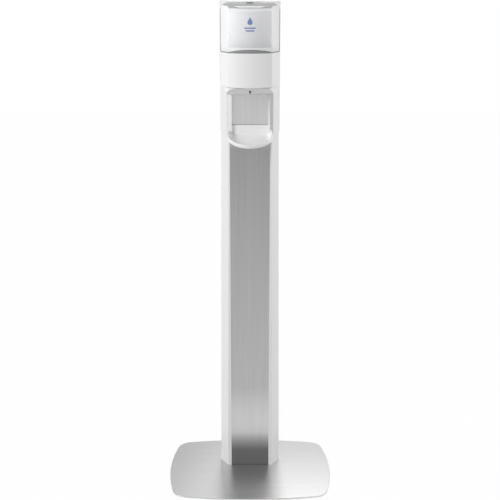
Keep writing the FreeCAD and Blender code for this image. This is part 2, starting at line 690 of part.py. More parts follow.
dispenser_screws = new_body("dispenser_screws")
add_prism(dispenser_screws, "Heads", "front", CHASSIS_FRONT + " - screw_head_high", CHASSIS_FRONT,
          (MOUNT_SCREWS, "mount_screw_radius + screw_head_grow"))
add_prism(dispenser_screws, "Shanks", "front", CHASSIS_FRONT,
          UPPER_PANEL_BACK + " + backing_thick + panel_sheet",
          (MOUNT_SCREWS, "mount_screw_radius"))
finish(dispenser_screws, "dispenser_screws")


# Drip shield: a frame with a window over the brushed panel and a leaning bowl below it.

shield_tray = new_body("shield_tray")
BOWL_IN = "bowl_radius - bowl_lip"
bowl_profile = sketch_on(shield_tray, "BowlSection", "side", "0")
drive(bowl_profile, "AttachmentOffset.Base.x", "bowl_centre_y")
drive(bowl_profile, "AttachmentOffset.Base.y", "bowl_centre_z")
bowl_turn = FreeCAD.Rotation(FreeCAD.Vector(0, 0, 1), value("bowl_tilt"))
bowl_profile.AttachmentOffset = FreeCAD.Placement(bowl_profile.AttachmentOffset.Base, bowl_turn)
drive(bowl_profile, "AttachmentOffset.Rotation.Angle", "bowl_tilt")
outline(bowl_profile, [
    ("0", "-bowl_deep - bowl_wall"),
    ("bowl_floor_radius + bowl_wall", "-bowl_deep - bowl_wall"),
    ("bowl_radius", "-bowl_lip_high"),
    ("bowl_radius", "-bowl_lip / 3"),
    ("bowl_radius - bowl_lip / 3", "0"),
    (BOWL_IN + " + bowl_lip / 3", "0"),
    (BOWL_IN, "-bowl_lip / 3"),
    (BOWL_IN, "-bowl_deep", "bowl_curve"),
    ("0", "-bowl_deep"),
])
bowl = shield_tray.newObject("PartDesign::Revolution", "Bowl")
bowl.Profile = bowl_profile
bowl.ReferenceAxis = (bowl_profile, ["V_Axis"])
bowl.Angle = 360
doc.recompute()
CLEAR = "bowl_radius * 2"
cut_prism(shield_tray, "BowlBack", "front", SHIELD_FRONT + " + shield_thick / 2",
          SHIELD_FRONT + " + " + CLEAR,
          rectangle("-" + CLEAR, CLEAR, "bowl_centre_z - " + CLEAR, "bowl_centre_z + " + CLEAR))
shield_half_outline = [
    ("shield_half", "shield_foot", "shield_corner"),
    ("shield_half", "shield_top", "shield_corner"),
]
add_prism(shield_tray, "BackWall", "front", SHIELD_FRONT, HEAD_FRONT, both(shield_half_outline))
RAIL_IN = "shield_half - shield_rail"
cut_prism(shield_tray, "Opening", "front", SHIELD_FRONT, HEAD_FRONT,
          rectangle("-(%s)" % RAIL_IN, RAIL_IN, "shield_opening_low", "shield_opening_high"))
for side in ("", "-"):
    inner, outer = "%s(%s)" % (side, RAIL_IN), "%sshield_half" % side
    low_x, high_x = (inner, outer) if not side else (outer, inner)
    add_prism(shield_tray, "Rail", "front", SHIELD_FRONT + " - shield_rail_deep", SHIELD_FRONT,
              rectangle(low_x, high_x, "bowl_centre_z", "cover_low - fit_gap * 2"))
cut_prism(shield_tray, "Holes", "front", SHIELD_FRONT, HEAD_FRONT,
          (MOUNT_SCREWS, "mount_screw_radius + hole_gap"))
finish(shield_tray, "shield_tray")


# Dispenser: three outlines, from above, the front and the side, meet in one rounded body.

PLACES = {"plan": FreeCAD.Rotation(),
          "front": FreeCAD.Rotation(FreeCAD.Vector(1, 0, 0), 90),
          "side": FreeCAD.Rotation(FreeCAD.Vector(1, 1, 1), 120)}
BAND_RADIUS = "(band_half ^ 2 + band_bow ^ 2) / (2 * band_bow)"
BAND_SIDE_Y = "cover_front_y + band_bow"
DISPENSER_BACK = SHIELD_FRONT
ENVELOPE = {
    "plan": [
        ("-band_half", BAND_SIDE_Y, BAND_RADIUS, "arc"),
        ("band_half", BAND_SIDE_Y),
        ("cover_half", BAND_SIDE_Y + " + facet_deep", "cover_brow"),
        ("cover_half", DISPENSER_BACK),
        ("-cover_half", DISPENSER_BACK),
        ("-cover_half", BAND_SIDE_Y + " + facet_deep", "cover_brow"),
    ],
    "front": [
        ("-cover_low_half", "cover_low"),
        ("cover_low_half", "cover_low", "cover_side_round", "arc"),
        ("cover_half", "cover_side_start"),
        ("cover_half", "cover_top_back", "cover_top_corner"),
        ("-cover_half", "cover_top_back", "cover_top_corner"),
        ("-cover_half", "cover_side_start", "cover_side_round", "arc"),
    ],
    "side": [
        ("cover_front_y", "cover_fold", "cover_lip"),
        ("cover_front_y + cover_undercut", "cover_low"),
        (DISPENSER_BACK, "cover_low"),
        (DISPENSER_BACK, "cover_top_back"),
        ("cover_back_y", "cover_top_back"),
        ("cover_front_y", "cover_top_front", "cover_brow"),
    ],
}
outlines = {}
for view, corners in ENVELOPE.items():
    sketch = doc.addObject("Sketcher::SketchObject", "Dispenser" + view.capitalize())
    sketch.Placement = FreeCAD.Placement(FreeCAD.Vector(), PLACES[view])
    outline(sketch, corners)
    outlines[view] = sketch
doc.recompute()


def dispenser_form(name, inset):
    """Solid of the dispenser's outer form, drawn in by an inset on every side."""
    solids = []
    for view, sketch in outlines.items():
        source = sketch
        if value(inset) > 0:
            source = doc.addObject("Part::Offset2D", name + view.capitalize())
            source.Source = sketch
            source.Join = "Intersection"
            drive(source, "Value", "-(%s)" % inset)
        solid = doc.addObject("Part::Extrusion", name + view.capitalize() + "Solid")
        solid.Base = source
        solid.DirMode = "Custom"
        solid.Dir = PLACES[view].multVec(FreeCAD.Vector(0, 0, 1))
        solid.Solid = True
        solid.Symmetric = True
        drive(solid, "LengthFwd", "(cover_top_back + cover_half) * 2")
        solids.append(solid)
    return keep(name, solids)


REACH = "(cover_half * 2)"


def zone(name, y_low, y_high, z_low, z_high):
    """Box across the whole width of the dispenser."""
    return block(name, "-" + REACH, REACH, y_low, y_high, z_low, z_high)


outer_form = dispenser_form("OuterForm", "0")
inner_form = dispenser_form("InnerForm", "cover_wall")
lip_form = dispenser_form("LipForm", "cover_lip")
fairing_outer = dispenser_form("FairingOuter", "fairing_inset")
fairing_inner = dispenser_form("FairingInner", "fairing_inset + fairing_wall")
doc.recompute()

FAR_FRONT = "cover_front_y - cover_half"
HINGE_TIP = "(cover_half - cover_wall * 0.7)"
LUG_OUT = "(cover_half - lug_inset)"
LUG_IN = "(%s - lug_thick)" % LUG_OUT

# White lower cover, open at the back and top, with a thin lip at its lower edge.

lower_shell = cut("LowerShell", outer_form, [inner_form])
lower_zone = zone("LowerZone", FAR_FRONT, "cover_back_y", "cover_fold", "cover_seam")
LIP_END = "hinge_y - lug_round - cover_wall * 2"
lip_zone = zone("LipZone", FAR_FRONT, LIP_END, "cover_low", "cover_fold + cover_lip_high")
lip_space = keep("LipSpace", [lip_form, lip_zone])
swing_zone = zone("SwingZone", "hinge_y", "cover_back_y", "cover_low", "hinge_z")
swing_rod = rod("SwingRod", "x", "-" + REACH, "hinge_y", "hinge_z", "cover_back_y - hinge_y", REACH + " * 2")
swing_corner = cut("SwingCorner", swing_zone, [swing_rod])
pin_holes = [rod("PinHole", "x", x, "hinge_y", "hinge_z", "hinge_radius + hinge_gap", HINGE_TIP + " / 2")
             for x in (HINGE_TIP + " / 2", "-" + HINGE_TIP)]
cover_band = keep("CoverBand", [lower_shell, lower_zone])
cover_lower = cut("CoverLower", cover_band, [lip_space, swing_corner] + pin_holes)
finish(cover_lower, "cover_lower")

# Clear window: the upper part of the cover, its lower edge arched over the dark reveal.

window_cutter = new_body("WindowCutter")
WINDOW_RISE = "(window_middle - window_side)"
ARCH_RADIUS = "(band_half ^ 2 + %s ^ 2) / (2 * %s)" % (WINDOW_RISE, WINDOW_RISE)
add_prism(window_cutter, "Region", "front", FAR_FRONT, "cover_back_y", [
    ("-" + REACH, "window_side"),
    ("-band_half", "window_side", "-" + ARCH_RADIUS, "arc"),
    ("band_half", "window_side"),
    (REACH, "window_side"),
    (REACH, "cover_top_back + cover_wall"),
    ("-" + REACH, "cover_top_back + cover_wall"),
])
VEE_HALF = "(latch_half + fit_gap * 2)"
window_notch = new_body("WindowNotch")
add_prism(window_notch, "Notch", "plan", "cover_top_back - cover_wall * 2", "cover_top_back + cover_wall", [
    ("-" + VEE_HALF, "cover_back_y"),
    ("0", "cover_back_y - latch_vee - fit_gap"),
    (VEE_HALF, "cover_back_y"),
    (VEE_HALF, "cover_back_y + cover_wall"),
    ("-" + VEE_HALF, "cover_back_y + cover_wall"),
])
window_shell = cut("WindowShell", outer_form, [inner_form])
window_region = keep("WindowRegion", [window_shell, window_cutter])
cover_window = cut("CoverWindow", window_region, [window_notch])
finish(cover_window, "cover_window")

# Dark frame inside the cover that carries the window and shows in the reveal.

frame_core = dispenser_form("FrameCore", "cover_wall + frame_wall")
frame_zone = zone("FrameZone", FAR_FRONT, "cover_back_y", "frame_low", "frame_high")
frame_band = cut("FrameBand", keep("FrameSolid", [inner_form, frame_zone]), [frame_core])
finish(frame_band, "window_frame")

# Chassis: the fixed back half, with its back wall, hinge lugs and the seat of the latch.

CHASSIS_EDGE = "cover_back_y + fit_gap"
rear_zone = zone("RearZone", CHASSIS_EDGE, DISPENSER_BACK, "cover_low", "cover_top_back")
rear_core = zone("RearCore", CHASSIS_EDGE, CHASSIS_FRONT, "cover_low", "cover_top_back")
rear_solid = keep("RearSolid", [outer_form, rear_zone])
rear_hollow = keep("RearHollow", [inner_form, rear_core])
rear_shell = cut("RearShell", rear_solid, [rear_hollow])
chassis_parts = [rear_shell]
chassis_holes = []
for x_low, x_high in ((LUG_IN, LUG_OUT), ("-" + LUG_OUT, "-" + LUG_IN)):
    chassis_parts.append(block("Lug", x_low, x_high, "hinge_y", CHASSIS_FRONT,
                               "hinge_z - lug_round", "hinge_z + lug_round"))
    chassis_parts.append(rod("LugEnd", "x", x_low, "hinge_y", "hinge_z", "lug_round", "lug_thick"))
    chassis_holes.append(rod("LugHole", "x", x_low, "hinge_y", "hinge_z",
                             "hinge_radius + hinge_gap / 2", "lug_thick"))
for x, z in MOUNT_SCREWS:
    chassis_holes.append(rod("MountHole", "y", x, CHASSIS_FRONT + " - fit_gap", z,
                             "mount_screw_radius + hole_gap", "chassis_wall + fit_gap * 2"))
chassis_holes.append(block("LatchSeat", "-latch_half - fit_gap", "latch_half + fit_gap",
                           CHASSIS_EDGE + " - fit_gap", "latch_back_y + fit_gap",
                           "cover_top_back - cover_wall * 2", "cover_top_back + cover_wall"))
chassis_parts.append(block("SpringSeat", "-latch_half", "latch_half", "bottle_back_y + fit_gap * 2",
                           CHASSIS_FRONT,
                           "spring_low - cover_wall", "spring_low"))
FLANGE_TOP = "(actuator_low - fit_gap * 2)"
chassis_parts.append(block("FrontFlange", "-cover_low_half", "cover_low_half", CHASSIS_EDGE,
                           CHASSIS_EDGE + " + chassis_wall", "cover_low + cover_wall / 2", FLANGE_TOP))
chassis = cut("Chassis", join("ChassisSolid", chassis_parts), chassis_holes)
finish(chassis, "chassis")

hinge_pins = new_body("hinge_pins")
PIN_OUT = "(%s - fit_gap)" % HINGE_TIP
PIN_IN = "(%s - fit_gap * 2)" % LUG_IN
add_prism(hinge_pins, "RightPin", "side", PIN_IN, PIN_OUT, ([("hinge_y", "hinge_z")], "hinge_radius"))
add_prism(hinge_pins, "LeftPin", "side", "-" + PIN_OUT, "-" + PIN_IN,
          ([("hinge_y", "hinge_z")], "hinge_radius"))
finish(hinge_pins, "hinge_pins")

# Nozzle fairing: the undercut lower nose, with the nozzle hole and the sensor slot.

FAIRING_TOP = "(cover_fold - cover_lip)"
FAIRING_BACK = "cover_back_y"
SLOPE_RUN = "(cover_undercut / (cover_fold - cover_low))"
SENSOR_Z = "((cover_fold + cover_low) / 2)"
SENSOR_Y = "(cover_front_y + (cover_fold - %s) * %s)" % (SENSOR_Z, SLOPE_RUN)
fairing_zone = zone("FairingZone", FAR_FRONT, FAIRING_BACK, "cover_low", FAIRING_TOP)
fairing_core = zone("FairingCore", FAR_FRONT, FAIRING_BACK + " - fairing_wall", "cover_low",
                    "cover_top_front")
fairing_solid = keep("FairingSolid", [fairing_outer, fairing_zone])
fairing_hollow = keep("FairingHollow", [fairing_inner, fairing_core])
nozzle_hole = rod("NozzleHole", "z", "0", "pump_y", "cover_low - fairing_wall", "nozzle_radius * 2",
                  "fairing_wall * 4")
sensor_slot = block("SensorSlot", "-sensor_half - fit_gap", "sensor_half + fit_gap",
                    SENSOR_Y + " - sensor_long", SENSOR_Y + " + sensor_long * 2",
                    SENSOR_Z + " - sensor_long / 2", SENSOR_Z + " + sensor_long / 2")
fairing_gate = zone("FairingGate", FAR_FRONT, FAIRING_BACK, FLANGE_TOP, "cover_top_front")
fairing_mouth = keep("FairingMouth", [fairing_inner, fairing_gate])
fairing_tools = [fairing_hollow, fairing_mouth, nozzle_hole, sensor_slot]
fairing_wall = cut("FairingWall", fairing_solid, fairing_tools)
SNAP_BACK = "(%s + chassis_wall + fit_gap)" % CHASSIS_EDGE
snap_hooks = []
for x_low, x_high in (("cover_low_half * 0.4", "cover_low_half * 0.6"),
                      ("-cover_low_half * 0.6", "-cover_low_half * 0.4")):
    snap_hooks.append(block("SnapArm", x_low, x_high, FAIRING_BACK + " - fairing_wall",
                            SNAP_BACK + " + fairing_wall / 2",
                            FLANGE_TOP, FLANGE_TOP + " + fairing_wall / 2"))
    snap_hooks.append(block("SnapHook", x_low, x_high, SNAP_BACK, SNAP_BACK + " + fairing_wall / 2",
                            FLANGE_TOP + " - fairing_wall / 2", FLANGE_TOP + " + fairing_wall / 2"))
fairing = join("Fairing", [fairing_wall] + snap_hooks)
finish(fairing, "nozzle_fairing")


# Refill: a clear bottle of gel, neck down, with its pump.

BOW_CENTRE = "(bottle_front_y + bottle_front_radius)"
BOTTLE_CORNER_X = "(bottle_half - bottle_round)"
CORNER_REACH = "(bottle_front_radius - bottle_round)"
CORNER_DROP = "sqrt(%s ^ 2 - %s ^ 2)" % (CORNER_REACH, BOTTLE_CORNER_X)


def bottle_form(label, inset, low, high, neck_low):
    """Bottle's body and neck, drawn in by an inset: a bowed front that runs into round corners."""
    body = new_body(label)
    half = "bottle_half - (%s)" % inset
    corner = "bottle_round - (%s)" % inset
    bow = "bottle_front_radius - (%s)" % inset
    share = "(%s) / %s" % (bow, CORNER_REACH)
    bow_x = "%s * %s" % (BOTTLE_CORNER_X, share)
    bow_y = "%s - %s * %s" % (BOW_CENTRE, CORNER_DROP, share)
    side_y = "%s - %s" % (BOW_CENTRE, CORNER_DROP)
    back_y = "bottle_back_y - (%s)" % inset
    add_prism(body, "Walls", "plan", low, high, [
        ("-%s" % bow_x, bow_y, bow, "arc"),
        (bow_x, bow_y, corner, "arc"),
        (half, side_y),
        (half, back_y, corner),
        ("-(%s)" % half, back_y, corner),
        ("-(%s)" % half, side_y, corner, "arc"),
    ])
    bevel_edges(body, "Shoulders", "bottle_shoulder - (%s)" % inset,
                lambda edge: edge.BoundBox.ZLength < value("gel_gap"))
    add_prism(body, "Neck", "plan", neck_low, low + " + bottle_shoulder",
              ([("0", "pump_y")], "neck_radius - (%s)" % inset))
    return body


NECK_LOW = "bottle_low - neck_long"
bottle_outside = bottle_form("BottleOutside", "0", "bottle_low", "bottle_high", NECK_LOW)
bottle_inside = bottle_form("BottleInside", "bottle_wall",
                            "bottle_low + bottle_wall", "bottle_high - bottle_wall", NECK_LOW)
refill_bottle = cut("RefillBottle", bottle_outside, [bottle_inside])
finish(refill_bottle, "refill_bottle")

GEL_INSET = "bottle_wall + gel_gap"
COLLAR_LOW = "(bottle_low - collar_high - bottle_wall)"
gel_form = bottle_form("GelForm", GEL_INSET, "bottle_low + " + GEL_INSET,
                       "bottle_high - (%s)" % GEL_INSET, NECK_LOW + " + fit_gap")
gel_zone = zone("GelZone", FAR_FRONT, DISPENSER_BACK, "cover_low", "gel_level")
barrel_space = rod("BarrelSpace", "z", "0", "pump_y", COLLAR_LOW, "barrel_radius + gel_gap",
                   "collar_high + bottle_shoulder + gel_gap")
sanitizer_gel = cut("SanitizerGel", keep("GelBody", [gel_form, gel_zone]), [barrel_space])
finish(sanitizer_gel, "sanitizer_gel")

pump_collar = new_body("pump_collar")
add_prism(pump_collar, "Skirt", "plan", COLLAR_LOW, "bottle_low - fit_gap",
          polygon("0", "pump_y", "collar_radius", 24))
cut_prism(pump_collar, "Inside", "plan", NECK_LOW, "bottle_low", ([("0", "pump_y")], "neck_radius + gel_gap"))
cut_prism(pump_collar, "BarrelHole", "plan", COLLAR_LOW, NECK_LOW,
          ([("0", "pump_y")], "barrel_radius + gel_gap"))
finish(pump_collar, "pump_collar")

pump_barrel = new_body("pump_barrel")
BARREL_TOP = "bottle_low + bottle_shoulder - bottle_wall"
add_prism(pump_barrel, "Barrel", "plan", "barrel_low", BARREL_TOP, ([("0", "pump_y")], "barrel_radius"))
cut_prism(pump_barrel, "Bore", "plan", "barrel_low", BARREL_TOP + " - bottle_wall",
          ([("0", "pump_y")], "nozzle_radius + nozzle_gap"))
finish(pump_barrel, "pump_barrel")

pump_nozzle = new_body("pump_nozzle")
FORK_TOP = "actuator_low + actuator_thick"
NOZZLE_TOP = BARREL_TOP + " - bottle_wall - actuator_stroke - fit_gap * 4"
add_prism(pump_nozzle, "Stem", "plan", "nozzle_low", NOZZLE_TOP, ([("0", "pump_y")], "nozzle_radius"))
add_prism(pump_nozzle, "Flange", "plan", FORK_TOP, FORK_TOP + " + bottle_wall * 2",
          ([("0", "pump_y")], "nozzle_flange"))
cut_prism(pump_nozzle, "Bore", "plan", "nozzle_low", NOZZLE_TOP, ([("0", "pump_y")], "nozzle_bore"))
finish(pump_nozzle, "pump_nozzle")


# Drive: the motor turns the driven wheel, whose small pinion lifts the actuator's rack.

DRIVE_RADIUS = "(gear_module * drive_teeth / 2)"
PINION_RADIUS = "(gear_module * pinion_teeth / 2)"
MOTOR_X = "(gear_x - %s - %s)" % (DRIVE_RADIUS, PINION_RADIUS)
RACK_LINE = "(gear_x + %s)" % PINION_RADIUS
WHEEL_FRONT = "(gear_back_y - gear_face)"
RACK_BACK = "(%s - fit_gap)" % WHEEL_FRONT
RACK_FRONT = "(%s - gear_face)" % RACK_BACK
ADDENDUM = 0.9
DEDENDUM = 1.2
FLANK = math.radians(20)


def involute(base, radius):
    """Angle that an involute of a base circle has turned at a radius."""
    if radius <= base:
        return 0.0
    reach = math.sqrt((radius / base) ** 2 - 1)
    return reach - math.atan(reach)


def gear_solid(teeth, module, backlash, face, shift):
    """Spur gear along +Y from the origin; shift turns it by a share of one tooth."""
    pitch = module * teeth / 2
    base = pitch * math.cos(FLANK)
    tip = pitch + module * ADDENDUM
    root = pitch - module * DEDENDUM
    half_tooth = (math.pi * module / 2 - backlash) / (2 * pitch)
    half_base = half_tooth + involute(base, pitch)
    start = max(base, root)
    radii = [start, tip]
    points = []
    for tooth in range(teeth):
        middle = (tooth + shift) * 2 * math.pi / teeth
        flank = [(r, half_base - involute(base, r)) for r in radii]
        rising = [(root, half_base)] + flank
        for r, half in rising:
            points.append((r, middle - half))
        for r, half in reversed(rising):
            points.append((r, middle + half))
    ring = [FreeCAD.Vector(r * math.cos(a), 0, r * math.sin(a)) for r, a in points]
    if root >= base:
        ring = [p for i, p in enumerate(ring) if (p - ring[i - 1]).Length > 1e-6]
    wire = Part.makePolygon(ring + [ring[0]])
    return Part.Face(wire).extrude(FreeCAD.Vector(0, face, 0))


def number(*names):
    """Present numbers of some formulas."""
    return [value(name) for name in names]


module, backlash, face = number("gear_module", "gear_backlash", "gear_face")
drive_count, pinion_count = int(value("drive_teeth")), int(value("pinion_teeth"))
axis_x, axis_z, motor_x = number("gear_x", "gear_z", MOTOR_X)
along_y = FreeCAD.Vector(0, 1, 0)


def drilled(solid, radius, low, high):
    """Solid with a round bore along Y on its own axis."""
    bore = Part.makeCylinder(radius, high - low, FreeCAD.Vector(0, low, 0), along_y)
    return solid.cut(bore)


# The driven wheel has a tooth towards the motor, the motor pinion a gap towards the wheel.
wheel_shift = 0.5 if drive_count % 2 else 0.0
wheel = gear_solid(drive_count, module, backlash, face, wheel_shift)
small = gear_solid(pinion_count, module, backlash, face + value("fit_gap"), 0.0)
small.translate(FreeCAD.Vector(0, -face - value("fit_gap"), 0))
compound_gear = drilled(wheel.fuse(small), value("axle_radius + axle_gap"), -2 * face, 2 * face)
drive_gear = doc.addObject("Part::Feature", "DriveGear")
drive_gear.Shape = compound_gear.removeSplitter()
drive_gear.Placement = FreeCAD.Placement(FreeCAD.Vector(axis_x, value(WHEEL_FRONT), axis_z),
                                         FreeCAD.Rotation())
finish(drive_gear, "drive_gear")

motor_pinion = doc.addObject("Part::Feature", "MotorPinion")
motor_gear = gear_solid(pinion_count, module, backlash, face, 0.5)
motor_pinion.Shape = drilled(motor_gear, value("axle_radius"), 0, face)
motor_pinion.Placement = FreeCAD.Placement(FreeCAD.Vector(motor_x, value(WHEEL_FRONT), axis_z),
                                           FreeCAD.Rotation())
finish(motor_pinion, "motor_pinion")

SHAFT_FRONT = "(gear_plate_y - gear_plate_thick)"
motor_shaft = rod("MotorShaft", "y", MOTOR_X, SHAFT_FRONT, "gear_z", "axle_radius",
                  "%s + gear_face - %s" % (WHEEL_FRONT, SHAFT_FRONT))
finish(motor_shaft, "motor_shaft")

motor_can = new_body("drive_motor")
add_prism(motor_can, "Can", "front", SHAFT_FRONT + " - motor_long", SHAFT_FRONT,
          ([(MOTOR_X, "gear_z")], "motor_radius"))
finish(motor_can, "drive_motor")

gear_axle = rod("GearAxle", "y", "gear_x", SHAFT_FRONT, "gear_z", "axle_radius",
                CHASSIS_FRONT + " - " + SHAFT_FRONT)
finish(gear_axle, "gear_axle")

# Gear plate: a flat plate on four posts that carries the motor and one end of the axle.

PLATE_LEFT = "(%s - motor_radius - gear_plate_thick)" % MOTOR_X
PLATE_RIGHT = "(gear_x + %s)" % DRIVE_RADIUS
PLATE_LOW = "(actuator_low + actuator_thick + actuator_stroke + gear_plate_thick / 2)"
PLATE_HIGH = "(gear_z * 2 - %s)" % PLATE_LOW
gear_plate = new_body("gear_plate")
add_prism(gear_plate, "Plate", "front", SHAFT_FRONT, "gear_plate_y",
          rectangle(PLATE_LEFT, PLATE_RIGHT, PLATE_LOW, PLATE_HIGH))
for foot, foot_low in (("LowFoot", PLATE_LOW), ("HighFoot", PLATE_HIGH + " - gear_plate_thick * 2")):
    add_prism(gear_plate, foot, "front", "gear_plate_y", CHASSIS_FRONT,
              rectangle(PLATE_LEFT, PLATE_LEFT + " + gear_plate_thick * 2", foot_low,
                        foot_low + " + gear_plate_thick * 2"))
cut_prism(gear_plate, "ShaftHole", "front", SHAFT_FRONT, "gear_plate_y",
          ([(MOTOR_X, "gear_z")], "axle_radius + fit_gap"))
cut_prism(gear_plate, "AxleHole", "front", SHAFT_FRONT, "gear_plate_y",
          ([("gear_x", "gear_z")], "axle_radius + gel_gap"))
finish(gear_plate, "gear_plate")

# Actuator: a fork under the nozzle's flange, with an upright rack at its back.

RACK_WIDE = "gear_module * 6"
RACK_ROOT = "%s + gear_module * %s" % (RACK_LINE, DEDENDUM)
RACK_TOP = "(gear_z + actuator_thick + gear_module * 3)"
actuator_arm = new_body("ActuatorArm")
add_prism(actuator_arm, "Fork", "plan", "actuator_low", FORK_TOP, [
    ("-actuator_half", "pump_y - actuator_half", "actuator_half / 2"),
    ("actuator_half", "pump_y - actuator_half", "actuator_half / 2"),
    ("actuator_half", RACK_BACK, "actuator_half / 4"),
    (RACK_ROOT, RACK_BACK),
    (RACK_ROOT, RACK_FRONT),
    ("-actuator_half", RACK_FRONT + " - actuator_half / 2"),
])
cut_prism(actuator_arm, "NozzleHole", "plan", "actuator_low", FORK_TOP,
          ([("0", "pump_y")], "nozzle_radius + fit_gap"))


def rack_solid(teeth_low, teeth_high):
    """Upright rack whose teeth point towards -X, with one space level with the pinion's middle."""
    pitch = math.pi * module
    half = (pitch / 2 - backlash) / 2
    tip = -module * ADDENDUM
    root = module * DEDENDUM
    lean = math.tan(FLANK)
    low, high = value(FORK_TOP), value(RACK_TOP)
    points = [FreeCAD.Vector(value(RACK_WIDE), 0, low), FreeCAD.Vector(root, 0, low)]
    for tooth in range(teeth_low, teeth_high):
        middle = axis_z + (tooth + 0.5) * pitch
        wide = half + root * lean
        narrow = half + tip * lean
        points.append(FreeCAD.Vector(root, 0, middle - wide))
        points.append(FreeCAD.Vector(tip, 0, middle - narrow))
        points.append(FreeCAD.Vector(tip, 0, middle + narrow))
        points.append(FreeCAD.Vector(root, 0, middle + wide))
    points += [FreeCAD.Vector(root, 0, high), FreeCAD.Vector(value(RACK_WIDE), 0, high)]
    wire = Part.makePolygon(points + [points[0]])
    return Part.Face(wire).extrude(FreeCAD.Vector(0, face, 0))


tooth_pitch = math.pi * module
below = int((value("actuator_stroke") + 2 * module) / tooth_pitch) + 1
rack = doc.addObject("Part::Feature", "Rack")
rack.Shape = rack_solid(-below - 1, 1)
rack.Placement = FreeCAD.Placement(FreeCAD.Vector(value(RACK_LINE), value(RACK_FRONT), 0), FreeCAD.Rotation())
actuator = join("Actuator", [actuator_arm, rack])
finish(actuator, "pump_actuator")


# Electrics: four upright cells in a tray, the control board and the sensor at the nose.

CELL_ROWS = ("cell_front_y", "cell_front_y + cell_pitch")
CELL_COLUMNS = ("cell_first_x", "cell_first_x + cell_pitch")
CELLS = grid(CELL_COLUMNS, CELL_ROWS)
battery_cells = new_body("battery_cells")
add_prism(battery_cells, "Cells", "plan", "cell_low", "cell_low + cell_long - cell_tray_wall",
          (CELLS, "cell_radius"))
for x, y in CELLS:
    add_prism(battery_cells, "Pole", "plan", "cell_low + cell_long - cell_tray_wall", "cell_low + cell_long",
              polygon(x, y, "cell_radius * 0.4", 8))
finish(battery_cells, "battery_cells")

battery_tray = new_body("battery_tray")
TRAY_LEFT = "cell_first_x - cell_radius - fit_gap - cell_tray_wall"
TRAY_RIGHT = "cell_first_x + cell_pitch + cell_radius + fit_gap + cell_tray_wall"
TRAY_FRONT = "cell_front_y - cell_radius - fit_gap"
TRAY_BACK = CHASSIS_FRONT
add_prism(battery_tray, "Tray", "plan", "cell_low - cell_tray_wall", "cell_low + cell_long * 0.6",
          rectangle(TRAY_LEFT, TRAY_RIGHT, TRAY_FRONT, TRAY_BACK))
cut_prism(battery_tray, "Inside", "plan", "cell_low", "cell_low + cell_long",
          rectangle(TRAY_LEFT + " + cell_tray_wall", TRAY_RIGHT + " - cell_tray_wall",
                    TRAY_FRONT + " - cell_tray_wall", "cell_front_y + cell_pitch + cell_radius + fit_gap"))
finish(battery_tray, "battery_tray")

control_board = block("ControlBoard", "cell_first_x - cell_radius", "cell_first_x + cell_pitch + cell_radius",
                      CHASSIS_FRONT + " - board_thick", CHASSIS_FRONT,
                      "cell_low + cell_long + fit_gap",
                      "mount_screw_low - mount_screw_radius - screw_head_grow - screw_head_high")
sensor_board = block("SensorBoard", "-sensor_long * 1.6", "sensor_long * 1.6",
                     SENSOR_Y + " + sensor_long", SENSOR_Y + " + sensor_long + board_thick",
                     SENSOR_Z + " + fairing_wall + fit_gap * 2", "cover_fold + cover_wall")
sensor_lens = block("SensorLens", "-sensor_half", "sensor_half",
                    SENSOR_Y + " + fairing_inset", SENSOR_Y + " + sensor_long",
                    SENSOR_Z + " - sensor_long / 2 + fit_gap", SENSOR_Z + " + sensor_long / 2 - fit_gap")
finish(control_board, "control_board")
finish(sensor_board, "sensor_board")
finish(sensor_lens, "sensor_lens")


# Latch: a sprung button on top that frees the cover.

LATCH_LOW = "(cover_top_back - cover_wall * 2)"
latch_button = new_body("latch_button")
BUTTON_LOW = LATCH_LOW + " + latch_travel + fit_gap"
add_prism(latch_button, "Button", "plan", BUTTON_LOW, "cover_top_back + latch_rise", [
    ("-latch_half", CHASSIS_EDGE),
    ("latch_half", CHASSIS_EDGE),
    ("latch_half", "latch_back_y", "latch_half / 4"),
    ("-latch_half", "latch_back_y", "latch_half / 4"),
])
finish(latch_button, "latch_button")

COIL_STEPS = 10
WIRE_SIDES = 4


def coil_solid(radius, wire, turns, low, high):
    """Upright coil of wire, made of flat facets, round the Z axis."""
    count = round(turns * COIL_STEPS)
    rings = []
    for step in range(count + 1):
        angle = 2 * math.pi * step / COIL_STEPS
        outward = FreeCAD.Vector(math.cos(angle), math.sin(angle), 0)
        middle = outward * radius + FreeCAD.Vector(0, 0, low + (high - low) * step / count)
        ring = []
        for side in range(WIRE_SIDES):
            turn = 2 * math.pi * side / WIRE_SIDES
            lift = FreeCAD.Vector(0, 0, wire * math.sin(turn))
            ring.append(middle + outward * (wire * math.cos(turn)) + lift)
        rings.append(ring)
    faces = [Part.Face(Part.makePolygon([a, b, c, a])) for a, b, c in coil_facets(rings)]
    return Part.makeSolid(Part.makeShell(faces))


def coil_facets(rings):
    """Corner triples that close a tube through a list of rings."""
    facets = []
    for near, far in zip(rings, rings[1:]):
        for side in range(WIRE_SIDES):
            after = (side + 1) % WIRE_SIDES
            facets.append((near[side], near[after], far[after]))
            facets.append((near[side], far[after], far[side]))
    for ring in (rings[0], rings[-1]):
        for side in range(1, WIRE_SIDES - 1):
            facets.append((ring[0], ring[side], ring[side + 1]))
    return facets


latch_spring = doc.addObject("Part::Feature", "LatchSpring")
coil_low, coil_high = number("spring_low + spring_wire", BUTTON_LOW + " - spring_wire - gel_gap")
latch_spring.Shape = coil_solid(*number("spring_radius", "spring_wire", "spring_turns"), coil_low, coil_high)
drive(latch_spring, "Placement.Base.y", "spring_y")
finish(latch_spring, "latch_spring")


doc.recompute()

broken = [thing.Name for thing in doc.Objects if {"Invalid", "Error"} & set(thing.State)]
if broken:
    raise RuntimeError("failed: " + ", ".join(broken))
for node in nodes:
    if node.Shape.isNull() or not node.Shape.isValid() or not node.Shape.Solids:
        raise RuntimeError("no valid solid in " + node.Label)

